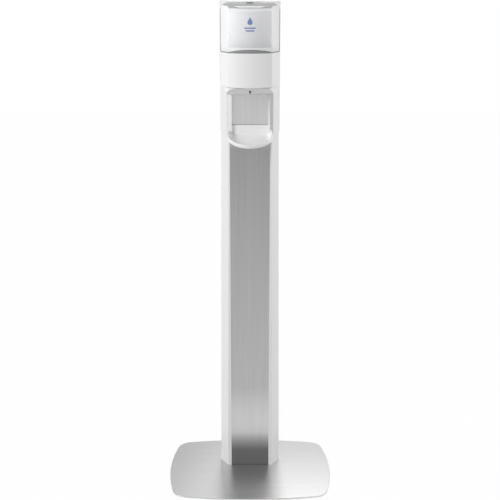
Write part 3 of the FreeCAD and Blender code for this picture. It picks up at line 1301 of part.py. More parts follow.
os.makedirs("parts", exist_ok=True)
for node in nodes:
    node.Shape.exportStep("parts/%s.step" % node.Label)
    print(node.Label, len(node.Shape.Solids), round(node.Shape.Volume))
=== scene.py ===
"""Looks of a touch-free hand sanitizer floor stand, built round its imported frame."""

import json
import logging
import math
import random
from dataclasses import dataclass, field
from enum import Enum
from typing import Callable, Iterable

import bmesh
import bpy
from mathutils import Matrix, Vector

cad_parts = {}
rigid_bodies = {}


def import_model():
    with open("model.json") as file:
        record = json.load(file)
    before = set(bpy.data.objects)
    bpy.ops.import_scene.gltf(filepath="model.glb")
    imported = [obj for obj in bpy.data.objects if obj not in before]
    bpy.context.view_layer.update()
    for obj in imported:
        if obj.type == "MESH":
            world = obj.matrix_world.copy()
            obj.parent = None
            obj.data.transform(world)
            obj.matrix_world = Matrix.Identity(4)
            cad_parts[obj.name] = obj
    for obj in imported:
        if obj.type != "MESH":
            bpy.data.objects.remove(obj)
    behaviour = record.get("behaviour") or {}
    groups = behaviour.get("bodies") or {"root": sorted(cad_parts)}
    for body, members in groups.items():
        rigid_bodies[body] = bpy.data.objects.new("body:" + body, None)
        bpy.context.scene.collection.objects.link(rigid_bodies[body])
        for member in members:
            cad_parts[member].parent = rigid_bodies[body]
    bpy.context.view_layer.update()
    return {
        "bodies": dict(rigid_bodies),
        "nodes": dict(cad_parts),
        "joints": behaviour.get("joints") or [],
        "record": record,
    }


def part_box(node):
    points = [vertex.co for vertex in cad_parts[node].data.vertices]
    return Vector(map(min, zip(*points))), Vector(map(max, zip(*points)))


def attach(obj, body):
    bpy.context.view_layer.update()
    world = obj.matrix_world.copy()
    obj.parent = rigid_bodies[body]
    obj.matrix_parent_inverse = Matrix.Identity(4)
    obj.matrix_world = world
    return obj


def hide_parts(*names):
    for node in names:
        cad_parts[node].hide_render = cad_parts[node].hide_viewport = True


LOG = logging.getLogger("sanitizer_stand")
MM = 0.001

Color = tuple[float, float, float]

WHITE = (1.0, 1.0, 1.0, 1.0)
# Vertices of a CAD mesh that lie closer than this are one.
WELD = 0.002 * MM
# Colour of dust near the floor, and how much of it shows where it is thickest.
DUST_COLOR = (0.42, 0.41, 0.39, 1.0)
DUST_SHARE = 0.22
# Height at which the window's milky lower border ends, and the X from which its walls get painted grey shade.
WINDOW_BORDER = 1112 * MM
WINDOW_SHADED_WALL = 67.6 * MM


class Lay(Enum):
    """Direction of a brushed grain, given as the pattern's scale along X, Y and Z."""

    UPRIGHT = (1.0, 1.0, 0.004)
    ACROSS = (0.004, 1.0, 1.0)


# Shader building


class Graph:
    """Short way to add and link the nodes of one shader tree."""

    def __init__(self, tree: bpy.types.NodeTree) -> None:
        """Keeps the tree that nodes are added to."""
        self.tree = tree

    def add(self, kind: str, **settings: object) -> bpy.types.Node:
        """Adds a node and sets its properties.

        Args:
            kind: Node type without the ShaderNode prefix.
            **settings: Properties of the node.

        Returns:
            The new node.
        """
        name = kind if kind.startswith("Node") else "ShaderNode" + kind
        node = self.tree.nodes.new(name)
        for key, value in settings.items():
            setattr(node, key, value)
        return node

    def feed(self, node: bpy.types.Node, **inputs: object) -> bpy.types.Node:
        """Sets or links inputs by name, with underscores for spaces.

        Args:
            node: Node whose inputs are fed.
            **inputs: A socket is linked, anything else is set as the value.

        Returns:
            The same node.
        """
        for key, value in inputs.items():
            self.plug(node.inputs[key.replace("_", " ")], value)
        return node

    def plug(self, socket: bpy.types.NodeSocket, value: object) -> None:
        """Links another socket to an input, or sets the input's value."""
        if isinstance(value, bpy.types.NodeSocket):
            self.tree.links.new(value, socket)
        else:
            socket.default_value = value

    def span(self, source: bpy.types.NodeSocket, low: float = 0.0, high: float = 1.0, begin: float = 0.0,
             end: object = 1.0) -> bpy.types.NodeSocket:
        """Maps a mask from begin..end to low..high, and holds it there outside.

        Args:
            source: The mask.
            low: Result at begin.
            high: Result at end.
            begin: Value of the mask that gives low.
            end: Value of the mask that gives high, or a socket that holds it.

        Returns:
            The mapped mask.
        """
        node = self.add("MapRange")
        self.feed(node, Value=source, From_Min=begin, From_Max=end, To_Min=low, To_Max=high)
        return node.outputs["Result"]

    def noise(self, place: bpy.types.NodeSocket, scale: object, **inputs: float) -> bpy.types.NodeSocket:
        """Noise mask at a scale, which is a number or a socket."""
        node = self.add("TexNoise")
        return self.feed(node, Vector=place, Scale=scale, **inputs).outputs["Fac"]

    def math(self, operation: str, first: bpy.types.NodeSocket, second: object = 0.0) -> bpy.types.NodeSocket:
        """Joins a mask with a second mask or a number.

        Args:
            operation: The Math node's operation.
            first: First mask.
            second: Second mask or a number.

        Returns:
            The result.
        """
        node = self.add("Math", operation=operation)
        self.plug(node.inputs[0], first)
        self.plug(node.inputs[1], second)
        return node.outputs[0]

    def blend(self, factor: object, first: object, second: object, kind: str = "MIX") -> bpy.types.NodeSocket:
        """Blends two colours, each a socket or a colour with alpha.

        Args:
            factor: Mask or number, 0 for the first colour.
            first: First colour.
            second: Second colour.
            kind: How the Mix node joins them.

        Returns:
            The blended colour.
        """
        mix = self.add("Mix", data_type="RGBA", blend_type=kind)
        self.feed(mix, Factor=factor, A=first, B=second)
        return next(socket for socket in mix.outputs if socket.type == "RGBA")

    def group(self, tree: bpy.types.NodeTree, **inputs: object) -> bpy.types.Node:
        """Places a node group and feeds it."""
        node = self.add("Group", node_tree=tree)
        return self.feed(node, **inputs)


def new_group(name: str, inputs: dict[str, float], outputs: Iterable[str]) -> bpy.types.NodeTree:
    """Makes an empty shader group with a Vector input, number inputs and number outputs.

    Args:
        name: Name of the group.
        inputs: Names and default values of the number inputs.
        outputs: Names of the outputs.

    Returns:
        The group's node tree.
    """
    tree = bpy.data.node_groups.new(name, "ShaderNodeTree")
    tree.interface.new_socket("Vector", in_out="INPUT", socket_type="NodeSocketVector")
    for label, value in inputs.items():
        socket = tree.interface.new_socket(label, in_out="INPUT", socket_type="NodeSocketFloat")
        socket.default_value = value
    for label in outputs:
        tree.interface.new_socket(label, in_out="OUTPUT", socket_type="NodeSocketFloat")
    return tree


def skin_group() -> bpy.types.NodeTree:
    """Fine skin of paint or moulded plastic: a close grain and broad soft patches.

    Returns:
        The group, which puts out Grain and Patch.
    """
    tree = new_group("SurfaceSkin", {"Grain Scale": 900.0, "Patch Scale": 14.0}, ("Grain", "Patch"))
    graph = Graph(tree)
    start = graph.add("NodeGroupInput")
    end = graph.add("NodeGroupOutput")
    place = start.outputs["Vector"]
    grain = graph.noise(place, start.outputs["Grain Scale"], Detail=2.0)
    patch = graph.noise(place, start.outputs["Patch Scale"], Detail=4.0, Roughness=0.6)
    graph.feed(end, Grain=grain, Patch=patch)
    return tree


def brush_group() -> bpy.types.NodeTree:
    """Brushed metal: long fine scratches, and wider streaks on a share of their scale.

    Returns:
        The group, which puts out Lines and Streaks.
    """
    tree = new_group("BrushedLines", {"Line Scale": 1500.0, "Streak Share": 0.3}, ("Lines", "Streaks"))
    graph = Graph(tree)
    start = graph.add("NodeGroupInput")
    end = graph.add("NodeGroupOutput")
    place, fine_scale = start.outputs["Vector"], start.outputs["Line Scale"]
    wide_scale = graph.math("MULTIPLY", fine_scale, start.outputs["Streak Share"])
    lines = graph.noise(place, fine_scale, Detail=3.0, Roughness=0.7)
    streaks = graph.noise(place, wide_scale, Detail=3.0, Roughness=0.6)
    graph.feed(end, Lines=lines, Streaks=streaks)
    return tree


def scuff_group() -> bpy.types.NodeTree:
    """Mask of dust specks that fade out upwards from the floor.

    Returns:
        The group, which puts out Mask.
    """
    tree = new_group("FloorDust", {"Reach": 0.12, "Speck Scale": 55.0}, ("Mask",))
    graph = Graph(tree)
    start = graph.add("NodeGroupInput")
    end = graph.add("NodeGroupOutput")
    place = start.outputs["Vector"]
    parts = graph.feed(graph.add("SeparateXYZ"), Vector=place)
    fade = graph.span(parts.outputs["Z"], 1.0, 0.0, end=start.outputs["Reach"])
    specks = graph.noise(place, start.outputs["Speck Scale"], Detail=6.0)
    graph.feed(end, Mask=graph.math("MULTIPLY", fade, specks))
    return tree


class Groups:
    """Shader groups shared by the finishes, each built once."""

    _made: dict[str, bpy.types.NodeTree] = {}

    @classmethod
    def get(cls, build: Callable[[], bpy.types.NodeTree]) -> bpy.types.NodeTree:
        """Gives the group that a function builds, and builds it the first time.

        Args:
            build: Function that builds the group.

        Returns:
            The group.
        """
        name = build.__name__
        if name not in cls._made:
            cls._made[name] = build()
        return cls._made[name]


def open_material(name: str) -> tuple[bpy.types.Material, Graph, bpy.types.Node, bpy.types.NodeSocket]:
    """Makes a material with one Principled shader.

    Args:
        name: Name of the material.

    Returns:
        The material, its graph, its shader and the Object coordinates.
    """
    material = bpy.data.materials.new(name)
    material.use_nodes = True
    graph = Graph(material.node_tree)
    shader = material.node_tree.nodes["Principled BSDF"]
    place = graph.add("TexCoord").outputs["Object"]
    return material, graph, shader, place


def shade_mix(graph: Graph, mask: bpy.types.NodeSocket, dark: Color, light: Color) -> bpy.types.NodeSocket:
    """Colour between dark and light by a mask."""
    return graph.blend(mask, (*dark, 1.0), (*light, 1.0))


def bump(graph: Graph, height: bpy.types.NodeSocket, strength: float, depth: float) -> bpy.types.NodeSocket:
    """Normal from a height mask.

    Args:
        graph: Graph of the material.
        height: The mask.
        strength: How strongly the relief shows.
        depth: Height of the relief in metres.

    Returns:
        The normal.
    """
    node = graph.add("Bump")
    graph.feed(node, Height=height, Strength=strength, Distance=depth)
    return node.outputs["Normal"]


def tinted(color: Color, factor: float) -> Color:
    """Colour times a factor, kept below white."""
    return tuple(min(channel * factor, 1.0) for channel in color)


# Finishes


@dataclass(frozen=True)
class Coating:
    """Powder coat or moulded plastic with a fine skin and slightly uneven gloss.

    In this and the next finishes dark and light are factors on the colour, uneven is how far the
    roughness goes up and down, and relief and depth are the strength and the height of the bump.
    """

    name: str
    color: Color
    roughness: float = 0.35
    grain: float = 900.0
    relief: float = 0.06
    dusty: bool = False
    dark: float = 0.99
    light: float = 1.01
    uneven: float = 0.03
    depth: float = 0.2 * MM
    ior: float = 1.48

    def material(self) -> bpy.types.Material:
        """Builds the finish.

        Returns:
            The material.
        """
        material, graph, shader, place = open_material(self.name)
        skin = graph.group(Groups.get(skin_group), Vector=place, Grain_Scale=self.grain)
        patch = skin.outputs["Patch"]
        tone = shade_mix(graph, patch, tinted(self.color, self.dark), tinted(self.color, self.light))
        if self.dusty:
            dust = graph.group(Groups.get(scuff_group), Vector=place)
            tone = graph.blend(graph.span(dust.outputs["Mask"], 0.0, DUST_SHARE), tone, DUST_COLOR)
        rough = graph.span(patch, self.roughness - self.uneven, self.roughness + self.uneven)
        normal = bump(graph, skin.outputs["Grain"], self.relief, self.depth)
        graph.feed(shader, Base_Color=tone, Roughness=rough, Normal=normal, IOR=self.ior)
        return material


@dataclass(frozen=True)
class BrushedSteel:
    """Brushed sheet whose grain runs one way.

    The mask of its lines is mixed with a share of wide streaks and stretched from line_dark..line_light
    to the full contrast. Its height table holds pairs of a height in metres and a factor on the tone, which
    paint light and shade onto the sheet by height.
    """

    name: str
    color: Color
    lay: Lay
    roughness: float = 0.34
    contrast: float = 0.16
    painted_light_by_height: tuple[tuple[float, float], ...] = ()
    streak_share: float = 0.45
    line_dark: float = 0.34
    line_light: float = 0.66
    uneven: float = 0.05
    relief: float = 0.12
    depth: float = 0.1 * MM

    def material(self) -> bpy.types.Material:
        """Builds the finish.

        Returns:
            The material.
        """
        material, graph, shader, place = open_material(self.name)
        stretch = graph.feed(graph.add("Mapping"), Vector=place, Scale=self.lay.value)
        brush = graph.group(Groups.get(brush_group), Vector=stretch.outputs["Vector"])
        mixed = graph.feed(graph.add("Mix", data_type="FLOAT"), Factor=self.streak_share,
                           A=brush.outputs["Lines"], B=brush.outputs["Streaks"])
        lines = mixed.outputs["Result"]
        sharp = graph.span(lines, begin=self.line_dark, end=self.line_light)
        tone = shade_mix(graph, sharp, tinted(self.color, 1.0 - self.contrast),
                         tinted(self.color, 1.0 + self.contrast))
        # Painted light and shade by height.
        if self.painted_light_by_height:
            tone = self.apply_painted_light(graph, place, tone)
        rough = graph.span(sharp, self.roughness + self.uneven, self.roughness - self.uneven)
        normal = bump(graph, lines, self.relief, self.depth)
        graph.feed(shader, Base_Color=tone, Roughness=rough, Normal=normal, Metallic=1.0)
        return material

    def apply_painted_light(self, graph: Graph, place: bpy.types.NodeSocket,
                  tone: bpy.types.NodeSocket) -> bpy.types.NodeSocket:
        """Scales a tone by the factors that the finish gives for heights, which are painted light and shade.

        Args:
            graph: Graph of the material.
            place: Object coordinates, whose Z is the height.
            tone: Tone that is scaled.

        Returns:
            The scaled tone.
        """
        parts = graph.feed(graph.add("SeparateXYZ"), Vector=place)
        ramp = graph.feed(graph.add("ValToRGB"), Fac=parts.outputs["Z"])
        stops = ramp.color_ramp.elements
        for index, (height, factor) in enumerate(self.painted_light_by_height):
            # A new ramp already has two stops.
            stop = stops[index] if index < 2 else stops.new(height)
            stop.position, stop.color = height, (factor, factor, factor, 1.0)
        return graph.blend(1.0, tone, ramp.outputs["Color"], "MULTIPLY")


@dataclass(frozen=True)
class Metal:
    """Plain turned, drawn or plated metal with faint marks."""

    name: str
    color: Color
    roughness: float = 0.3
    grain: float = 2200.0
    patch: float = 160.0
    dark: float = 0.85
    light: float = 1.1
    uneven: float = 0.08
    relief: float = 0.05
    depth: float = 0.1 * MM

    def material(self) -> bpy.types.Material:
        """Builds the finish.

        Returns:
            The material.
        """
        material, graph, shader, place = open_material(self.name)
        skin = graph.group(Groups.get(skin_group), Vector=place, Grain_Scale=self.grain,
                           Patch_Scale=self.patch)
        grain = skin.outputs["Grain"]
        tone = shade_mix(graph, skin.outputs["Patch"], tinted(self.color, self.dark),
                         tinted(self.color, self.light))
        rough = graph.span(grain, self.roughness - self.uneven, self.roughness + self.uneven)
        normal = bump(graph, grain, self.relief, self.depth)
        graph.feed(shader, Base_Color=tone, Roughness=rough, Normal=normal, Metallic=1.0)
        return material


@dataclass(frozen=True)
class Clear:
    """Clear plastic or gel: milky where it turns away, grey edge on, with only a faint shadow.

    How far the skin turns away runs from 0 to 1: between milky_from and milky_to its alpha goes over
    to side_alpha, and between grey_from and grey_to its colour to the edge's painted grey shade. border is a
    height below which it is milky, and wall the X from which it gets painted grey shade, both 0 where there
    is none.
    """

    name: str
    color: Color
    alpha: float
    side_alpha: float
    edge: float = 0.5
    shadow: float = 0.05
    border: float = 0.0
    wall: float = 0.0
    roughness: float = 0.05
    relief: float = 0.03
    patch: float = 30.0
    grain: float = 300.0
    dark: float = 0.97
    light: float = 1.02
    uneven: float = 0.05
    depth: float = 0.5 * MM
    milky_from: float = 0.1
    milky_to: float = 0.4
    grey_from: float = 0.6
    grey_to: float = 0.95
    border_fade: float = 2 * MM
    wall_fade: float = 0.7 * MM
    ior: float = 1.46

    def material(self) -> bpy.types.Material:
        """Builds the finish.

        Returns:
            The material.
        """
        material, graph, shader, place = open_material(self.name)
        skin = graph.group(Groups.get(skin_group), Vector=place, Grain_Scale=self.grain,
                           Patch_Scale=self.patch)
        patch = skin.outputs["Patch"]
        tone = shade_mix(graph, patch, tinted(self.color, self.dark), tinted(self.color, self.light))
        slant = graph.feed(graph.add("LayerWeight"), Blend=0.5).outputs["Facing"]
        parts = graph.feed(graph.add("SeparateXYZ"), Vector=place)
        alpha = self.alpha_mask(graph, slant, parts.outputs["Z"])
        # Painted grey shade edge on and at the outer wall, standing in for refraction at the skin's edges.
        edge = (*tinted(self.color, self.edge), 1.0)
        tone = graph.blend(self.painted_edge_shade_mask(graph, slant, parts.outputs["X"]), tone, edge)
        rough = graph.span(patch, self.roughness, self.roughness + self.uneven)
        normal = bump(graph, patch, self.relief, self.depth)
        graph.feed(shader, Base_Color=tone, Roughness=rough, Alpha=alpha, Normal=normal, IOR=self.ior)
        return material

    def alpha_mask(self, graph: Graph, slant: bpy.types.NodeSocket,
                   height: bpy.types.NodeSocket) -> bpy.types.NodeSocket:
        """How solid the skin is: milky where it turns away or lies below the border, faint in shadows.

        Args:
            graph: Graph of the material.
            slant: How far the skin turns away from the eye.
            height: Z of the place.

        Returns:
            The alpha.
        """
        turned = graph.span(slant, self.alpha, self.side_alpha, self.milky_from, self.milky_to)
        below = graph.span(height, self.side_alpha, 0.0, self.border, self.border + self.border_fade)
        thin = graph.span(graph.add("LightPath").outputs["Is Shadow Ray"], 1.0, self.shadow)
        return graph.math("MULTIPLY", graph.math("MAXIMUM", turned, below), thin)

    def painted_edge_shade_mask(self, graph: Graph, slant: bpy.types.NodeSocket,
                  across: bpy.types.NodeSocket) -> bpy.types.NodeSocket:
        """Where grey shade is painted on the skin: edge on, and at the outer wall if the finish has one.

        Args:
            graph: Graph of the material.
            slant: How far the skin turns away from the eye.
            across: X of the place.

        Returns:
            The mask.
        """
        steep = graph.span(slant, begin=self.grey_from, end=self.grey_to)
        ends = graph.span(graph.math("ABSOLUTE", across), 0.0, 1.0 if self.wall else 0.0,
                          self.wall - self.wall_fade, self.wall)
        return graph.math("MAXIMUM", steep, ends)


# Factors on the tone of the upright brushed sheet by height in metres, which paint light and shade on it: a
# painted dark foot, a painted bright band above it, dimmer painted shade up to the shield and painted
# brighter light above it.
PANEL_PAINTED_LIGHT = ((0.05, 0.4), (0.1, 1.0), (0.23, 0.65), (0.86, 0.55), (0.9, 1.0))

Finish = Coating | BrushedSteel | Metal | Clear

FINISHES: dict[str, Finish] = {finish.name: finish for finish in (
    Coating("white_steel", (0.80, 0.80, 0.805), roughness=0.36, grain=700.0, relief=0.05, dusty=True),
    Coating("white_plastic", (0.87, 0.87, 0.875), roughness=0.26, grain=1300.0, relief=0.02),
    Coating("grey_plastic", (0.27, 0.27, 0.28), roughness=0.45, grain=1500.0, relief=0.12),
    Coating("foot_rubber", (0.03, 0.03, 0.03), roughness=0.7, grain=1200.0, relief=0.25),
    Coating("gear_plastic", (0.78, 0.76, 0.68), roughness=0.42, grain=1800.0, relief=0.08),
    Coating("cell_jacket", (0.09, 0.10, 0.12), roughness=0.28, grain=1600.0, relief=0.03),
    Coating("board_green", (0.03, 0.16, 0.07), roughness=0.35, grain=2500.0, relief=0.1),
    Coating("sensor_dark", (0.015, 0.013, 0.016), roughness=0.08, grain=2000.0, relief=0.01),
    Coating("label_film", (0.78, 0.78, 0.79), roughness=0.3, grain=1100.0, relief=0.04),
    Coating("label_blue", (0.03, 0.10, 0.42), roughness=0.3, grain=1100.0, relief=0.04),
    BrushedSteel("brushed_panel", (0.72, 0.72, 0.72), Lay.UPRIGHT, contrast=0.08, painted_light_by_height=PANEL_PAINTED_LIGHT),
    BrushedSteel("brushed_base", (0.69, 0.69, 0.69), Lay.ACROSS, roughness=0.33, contrast=0.06),
    Metal("plain_steel", (0.52, 0.52, 0.53), roughness=0.34),
    Metal("zinc_screws", (0.70, 0.70, 0.72), roughness=0.22),
    Metal("motor_steel", (0.45, 0.45, 0.45), roughness=0.38),
    Clear("clear_window", (0.90, 0.905, 0.91), alpha=0.12, side_alpha=0.88, edge=0.42, border=WINDOW_BORDER,
          wall=WINDOW_SHADED_WALL),
    Clear("clear_bottle", (0.93, 0.935, 0.94), alpha=0.6, side_alpha=0.85, roughness=0.12, relief=0.08),
    Clear("clear_gel", (0.90, 0.91, 0.92), alpha=0.5, side_alpha=0.8, patch=60.0),
    Clear("foam", (0.45, 0.46, 0.47), alpha=0.85, side_alpha=0.9, edge=0.4, roughness=0.15),
)}


def raised(step: dict) -> tuple[list[bmesh.types.BMVert], list[bmesh.types.BMEdge]]:
    """Splits what an edge extrusion made into its new vertices and the edges between them.

    Args:
        step: Result of the extrusion.

    Returns:
        The vertices and the edges.
    """
    verts = [item for item in step["geom"] if isinstance(item, bmesh.types.BMVert)]
    edges = [item for item in step["geom"] if isinstance(item, bmesh.types.BMEdge)
             and all(vert in verts for vert in item.verts)]
    return verts, edges


class Workshop:
    """Makes pieces, gives them their finish and puts them on their body."""

    def __init__(self, frame: dict) -> None:
        """Keeps the frame, and the slot and the body of each node.
        """
        self.frame = frame
        record = frame["record"]
        self.slots: dict[str, str] = {part["node"]: part["material_slot"] for part in record["subparts"]}
        self.bodies: dict[str, str] = {}
        for body, nodes in record["behaviour"]["bodies"].items():
            for node in nodes:
                self.bodies[node] = body
        self.materials: dict[str, bpy.types.Material] = {}

    def material(self, name: str) -> bpy.types.Material:
        """Gives a finish's material, and builds it the first time.

        Args:
            name: Name of the finish.

        Returns:
            The material.
        """
        if name not in self.materials:
            self.materials[name] = FINISHES[name].material()
        return self.materials[name]

    def dress_nodes(self) -> None:
        """Gives every node of the frame the finish of its slot."""
        for name, node in self.frame["nodes"].items():
            node.data.materials.clear()
            node.data.materials.append(self.material(self.slots[name]))
        LOG.info("dressed %d nodes", len(self.frame["nodes"]))

    def piece(self, name: str, shape: bmesh.types.BMesh, finish: str, body: str, slot: str,
              smooth: float = 40.0) -> bpy.types.Object:
        """Turns a bmesh into a finished piece.

        Args:
            name: Name of the piece.
            shape: The mesh, which is freed.
            finish: Name of its finish.
            body: Body that it rides on.
            slot: Material slot of the record that it belongs to; not used.
            smooth: Angle in degrees above which an edge stays sharp.

        Returns:
            The new object.
        """
        mesh = bpy.data.meshes.new(name)
        shape.to_mesh(mesh)
        shape.free()
        for polygon in mesh.polygons:
            polygon.use_smooth = True
        mesh.set_sharp_from_angle(angle=math.radians(smooth))
        mesh.materials.append(self.material(finish))
        thing = bpy.data.objects.new(name, mesh)
        bpy.context.scene.collection.objects.link(thing)
        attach(thing, body)
        LOG.info("piece %s: %d faces", name, len(mesh.polygons))
        return thing

    def soften(self, node: str, radius: float, steps: int = 2, sharp: float = 38.0,
               merge: float = 0.6) -> bpy.types.Object:
        """Stands in for a node with the same shape and rounded edges.

        Args:
            node: Node that is copied and replaced.
            radius: Width of the rounding in metres.
            steps: Segments across the rounding.
            sharp: Edges that turn more than this many degrees are rounded.
            merge: Faces that differ by less than this many degrees become one.

        Returns:
            The new object.
        """
        shape = bmesh.new()
        shape.from_mesh(self.frame["nodes"][node].data)
        bmesh.ops.remove_doubles(shape, verts=shape.verts, dist=WELD)
        bmesh.ops.dissolve_limit(shape, angle_limit=math.radians(merge), verts=shape.verts, edges=shape.edges)
        limit = math.radians(sharp)
        edges = [edge for edge in shape.edges if edge.is_manifold and edge.calc_face_angle() > limit]
        bmesh.ops.bevel(shape, geom=edges, offset=radius, offset_type="OFFSET", segments=steps, profile=0.5,
                        affect="EDGES", material=-1, clamp_overlap=True)
        slot = self.slots[node]
        thing = self.piece(node + ".soft", shape, slot, self.bodies[node], slot, sharp)
        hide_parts(node)
        weigh = thing.modifiers.new("Even", "WEIGHTED_NORMAL")
        weigh.keep_sharp = True
        return thing


@dataclass
class StandBody:
    """Base plate, post and head of folded and cut sheet."""

    shop: Workshop
    plate_edge: float = 0.5 * MM
    fold: float = 0.5 * MM
    screw_radius: float = 4.5 * MM
    screw_high: float = 2.4 * MM
    recess: float = 1.5 * MM
    recess_sides: int = 6
    recess_floor: float = 0.45
    recess_rise: float = 0.54
    dome: tuple[tuple[float, float], ...] = ((1.9, 0.12), (2.6, 0.5), (2.9, 1.0))

    def build(self) -> None:
        """Builds every piece of the stand."""
        self.shop.soften("base_plate", self.plate_edge)
        for node in ("post_shell", "head_shell", "front_panel"):
            self.shop.soften(node, self.fold)
        self.shop.soften("head_cap", self.fold * 2)
        self.joint_screws()

    def joint_screws(self) -> None:
        """Domed heads with a hexagon recess over the two screws at the back."""
        low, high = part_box("joint_screws")
        shape = bmesh.new()
        apart, middle = high.x - self.screw_radius, (low.z + high.z) / 2
        for side in (-1.0, 1.0):
            self.pan_head(shape, Vector((side * apart, high.y - self.screw_high, middle)))
        self.shop.piece("joint_screw_heads", shape, "zinc_screws", "stand", "zinc_screws")

    def pan_head(self, shape: bmesh.types.BMesh, centre: Vector) -> None:
        """Adds one domed head that looks towards +Y.

        The recess's floor and rise are shares of the head's height. Each step of the dome gives its
        radius in radii of the recess and its drop from the top as a share of the height.

        Args:
            shape: Mesh that gets the head.
            centre: Middle of the head's seat.
        """
        place = Matrix.Translation(centre) @ Matrix.Rotation(math.radians(-90), 4, "X")
        seat = Matrix.Translation((0, 0, self.screw_high * self.recess_floor))
        ring = bmesh.ops.create_circle(shape, cap_ends=True, segments=self.recess_sides, radius=self.recess,
                                       matrix=place @ seat)
        floor = [face for vert in ring["verts"] for face in vert.link_faces][0]
        verts, edges = raised(bmesh.ops.extrude_edge_only(shape, edges=list(floor.edges)))
        bmesh.ops.translate(shape, verts=verts, vec=(0, self.screw_high * self.recess_rise, 0))
        for grow, drop in self.dome:
            verts, edges = raised(bmesh.ops.extrude_edge_only(shape, edges=edges))
            for vert in verts:
                around = vert.co - centre
                flat = Vector((around.x, 0, around.z)).normalized() * self.recess * grow
                vert.co = centre + flat + Vector((0, self.screw_high * (1.0 - drop), 0))
        bmesh.ops.holes_fill(shape, edges=edges)
        bmesh.ops.recalc_face_normals(shape, faces=shape.faces)


@dataclass
class Dispenser:
    """Cover, window, chassis, nose and latch of the dispenser."""

    shop: Workshop
    shell: float = 0.7 * MM
    shell_sharp: float = 30.0
    thin: float = 0.3 * MM

    def build(self) -> None:
        """Builds every shell of the dispenser."""
        for node in ("cover_lower", "cover_window", "chassis"):
            self.shop.soften(node, self.shell, sharp=self.shell_sharp)
        for node in ("nozzle_fairing", "window_frame", "latch_button"):
            self.shop.soften(node, self.thin)


@dataclass
class DripShield:
    """Back wall, rails and leaning bowl."""

    shop: Workshop
    lip: float = 1.1 * MM
    lip_steps: int = 3
    lip_sharp: float = 24.0
    merge: float = 0.05

    def build(self) -> None:
        """Builds the shield with softly rounded edges."""
        self.shop.soften("shield_tray", self.lip, self.lip_steps, self.lip_sharp, self.merge)


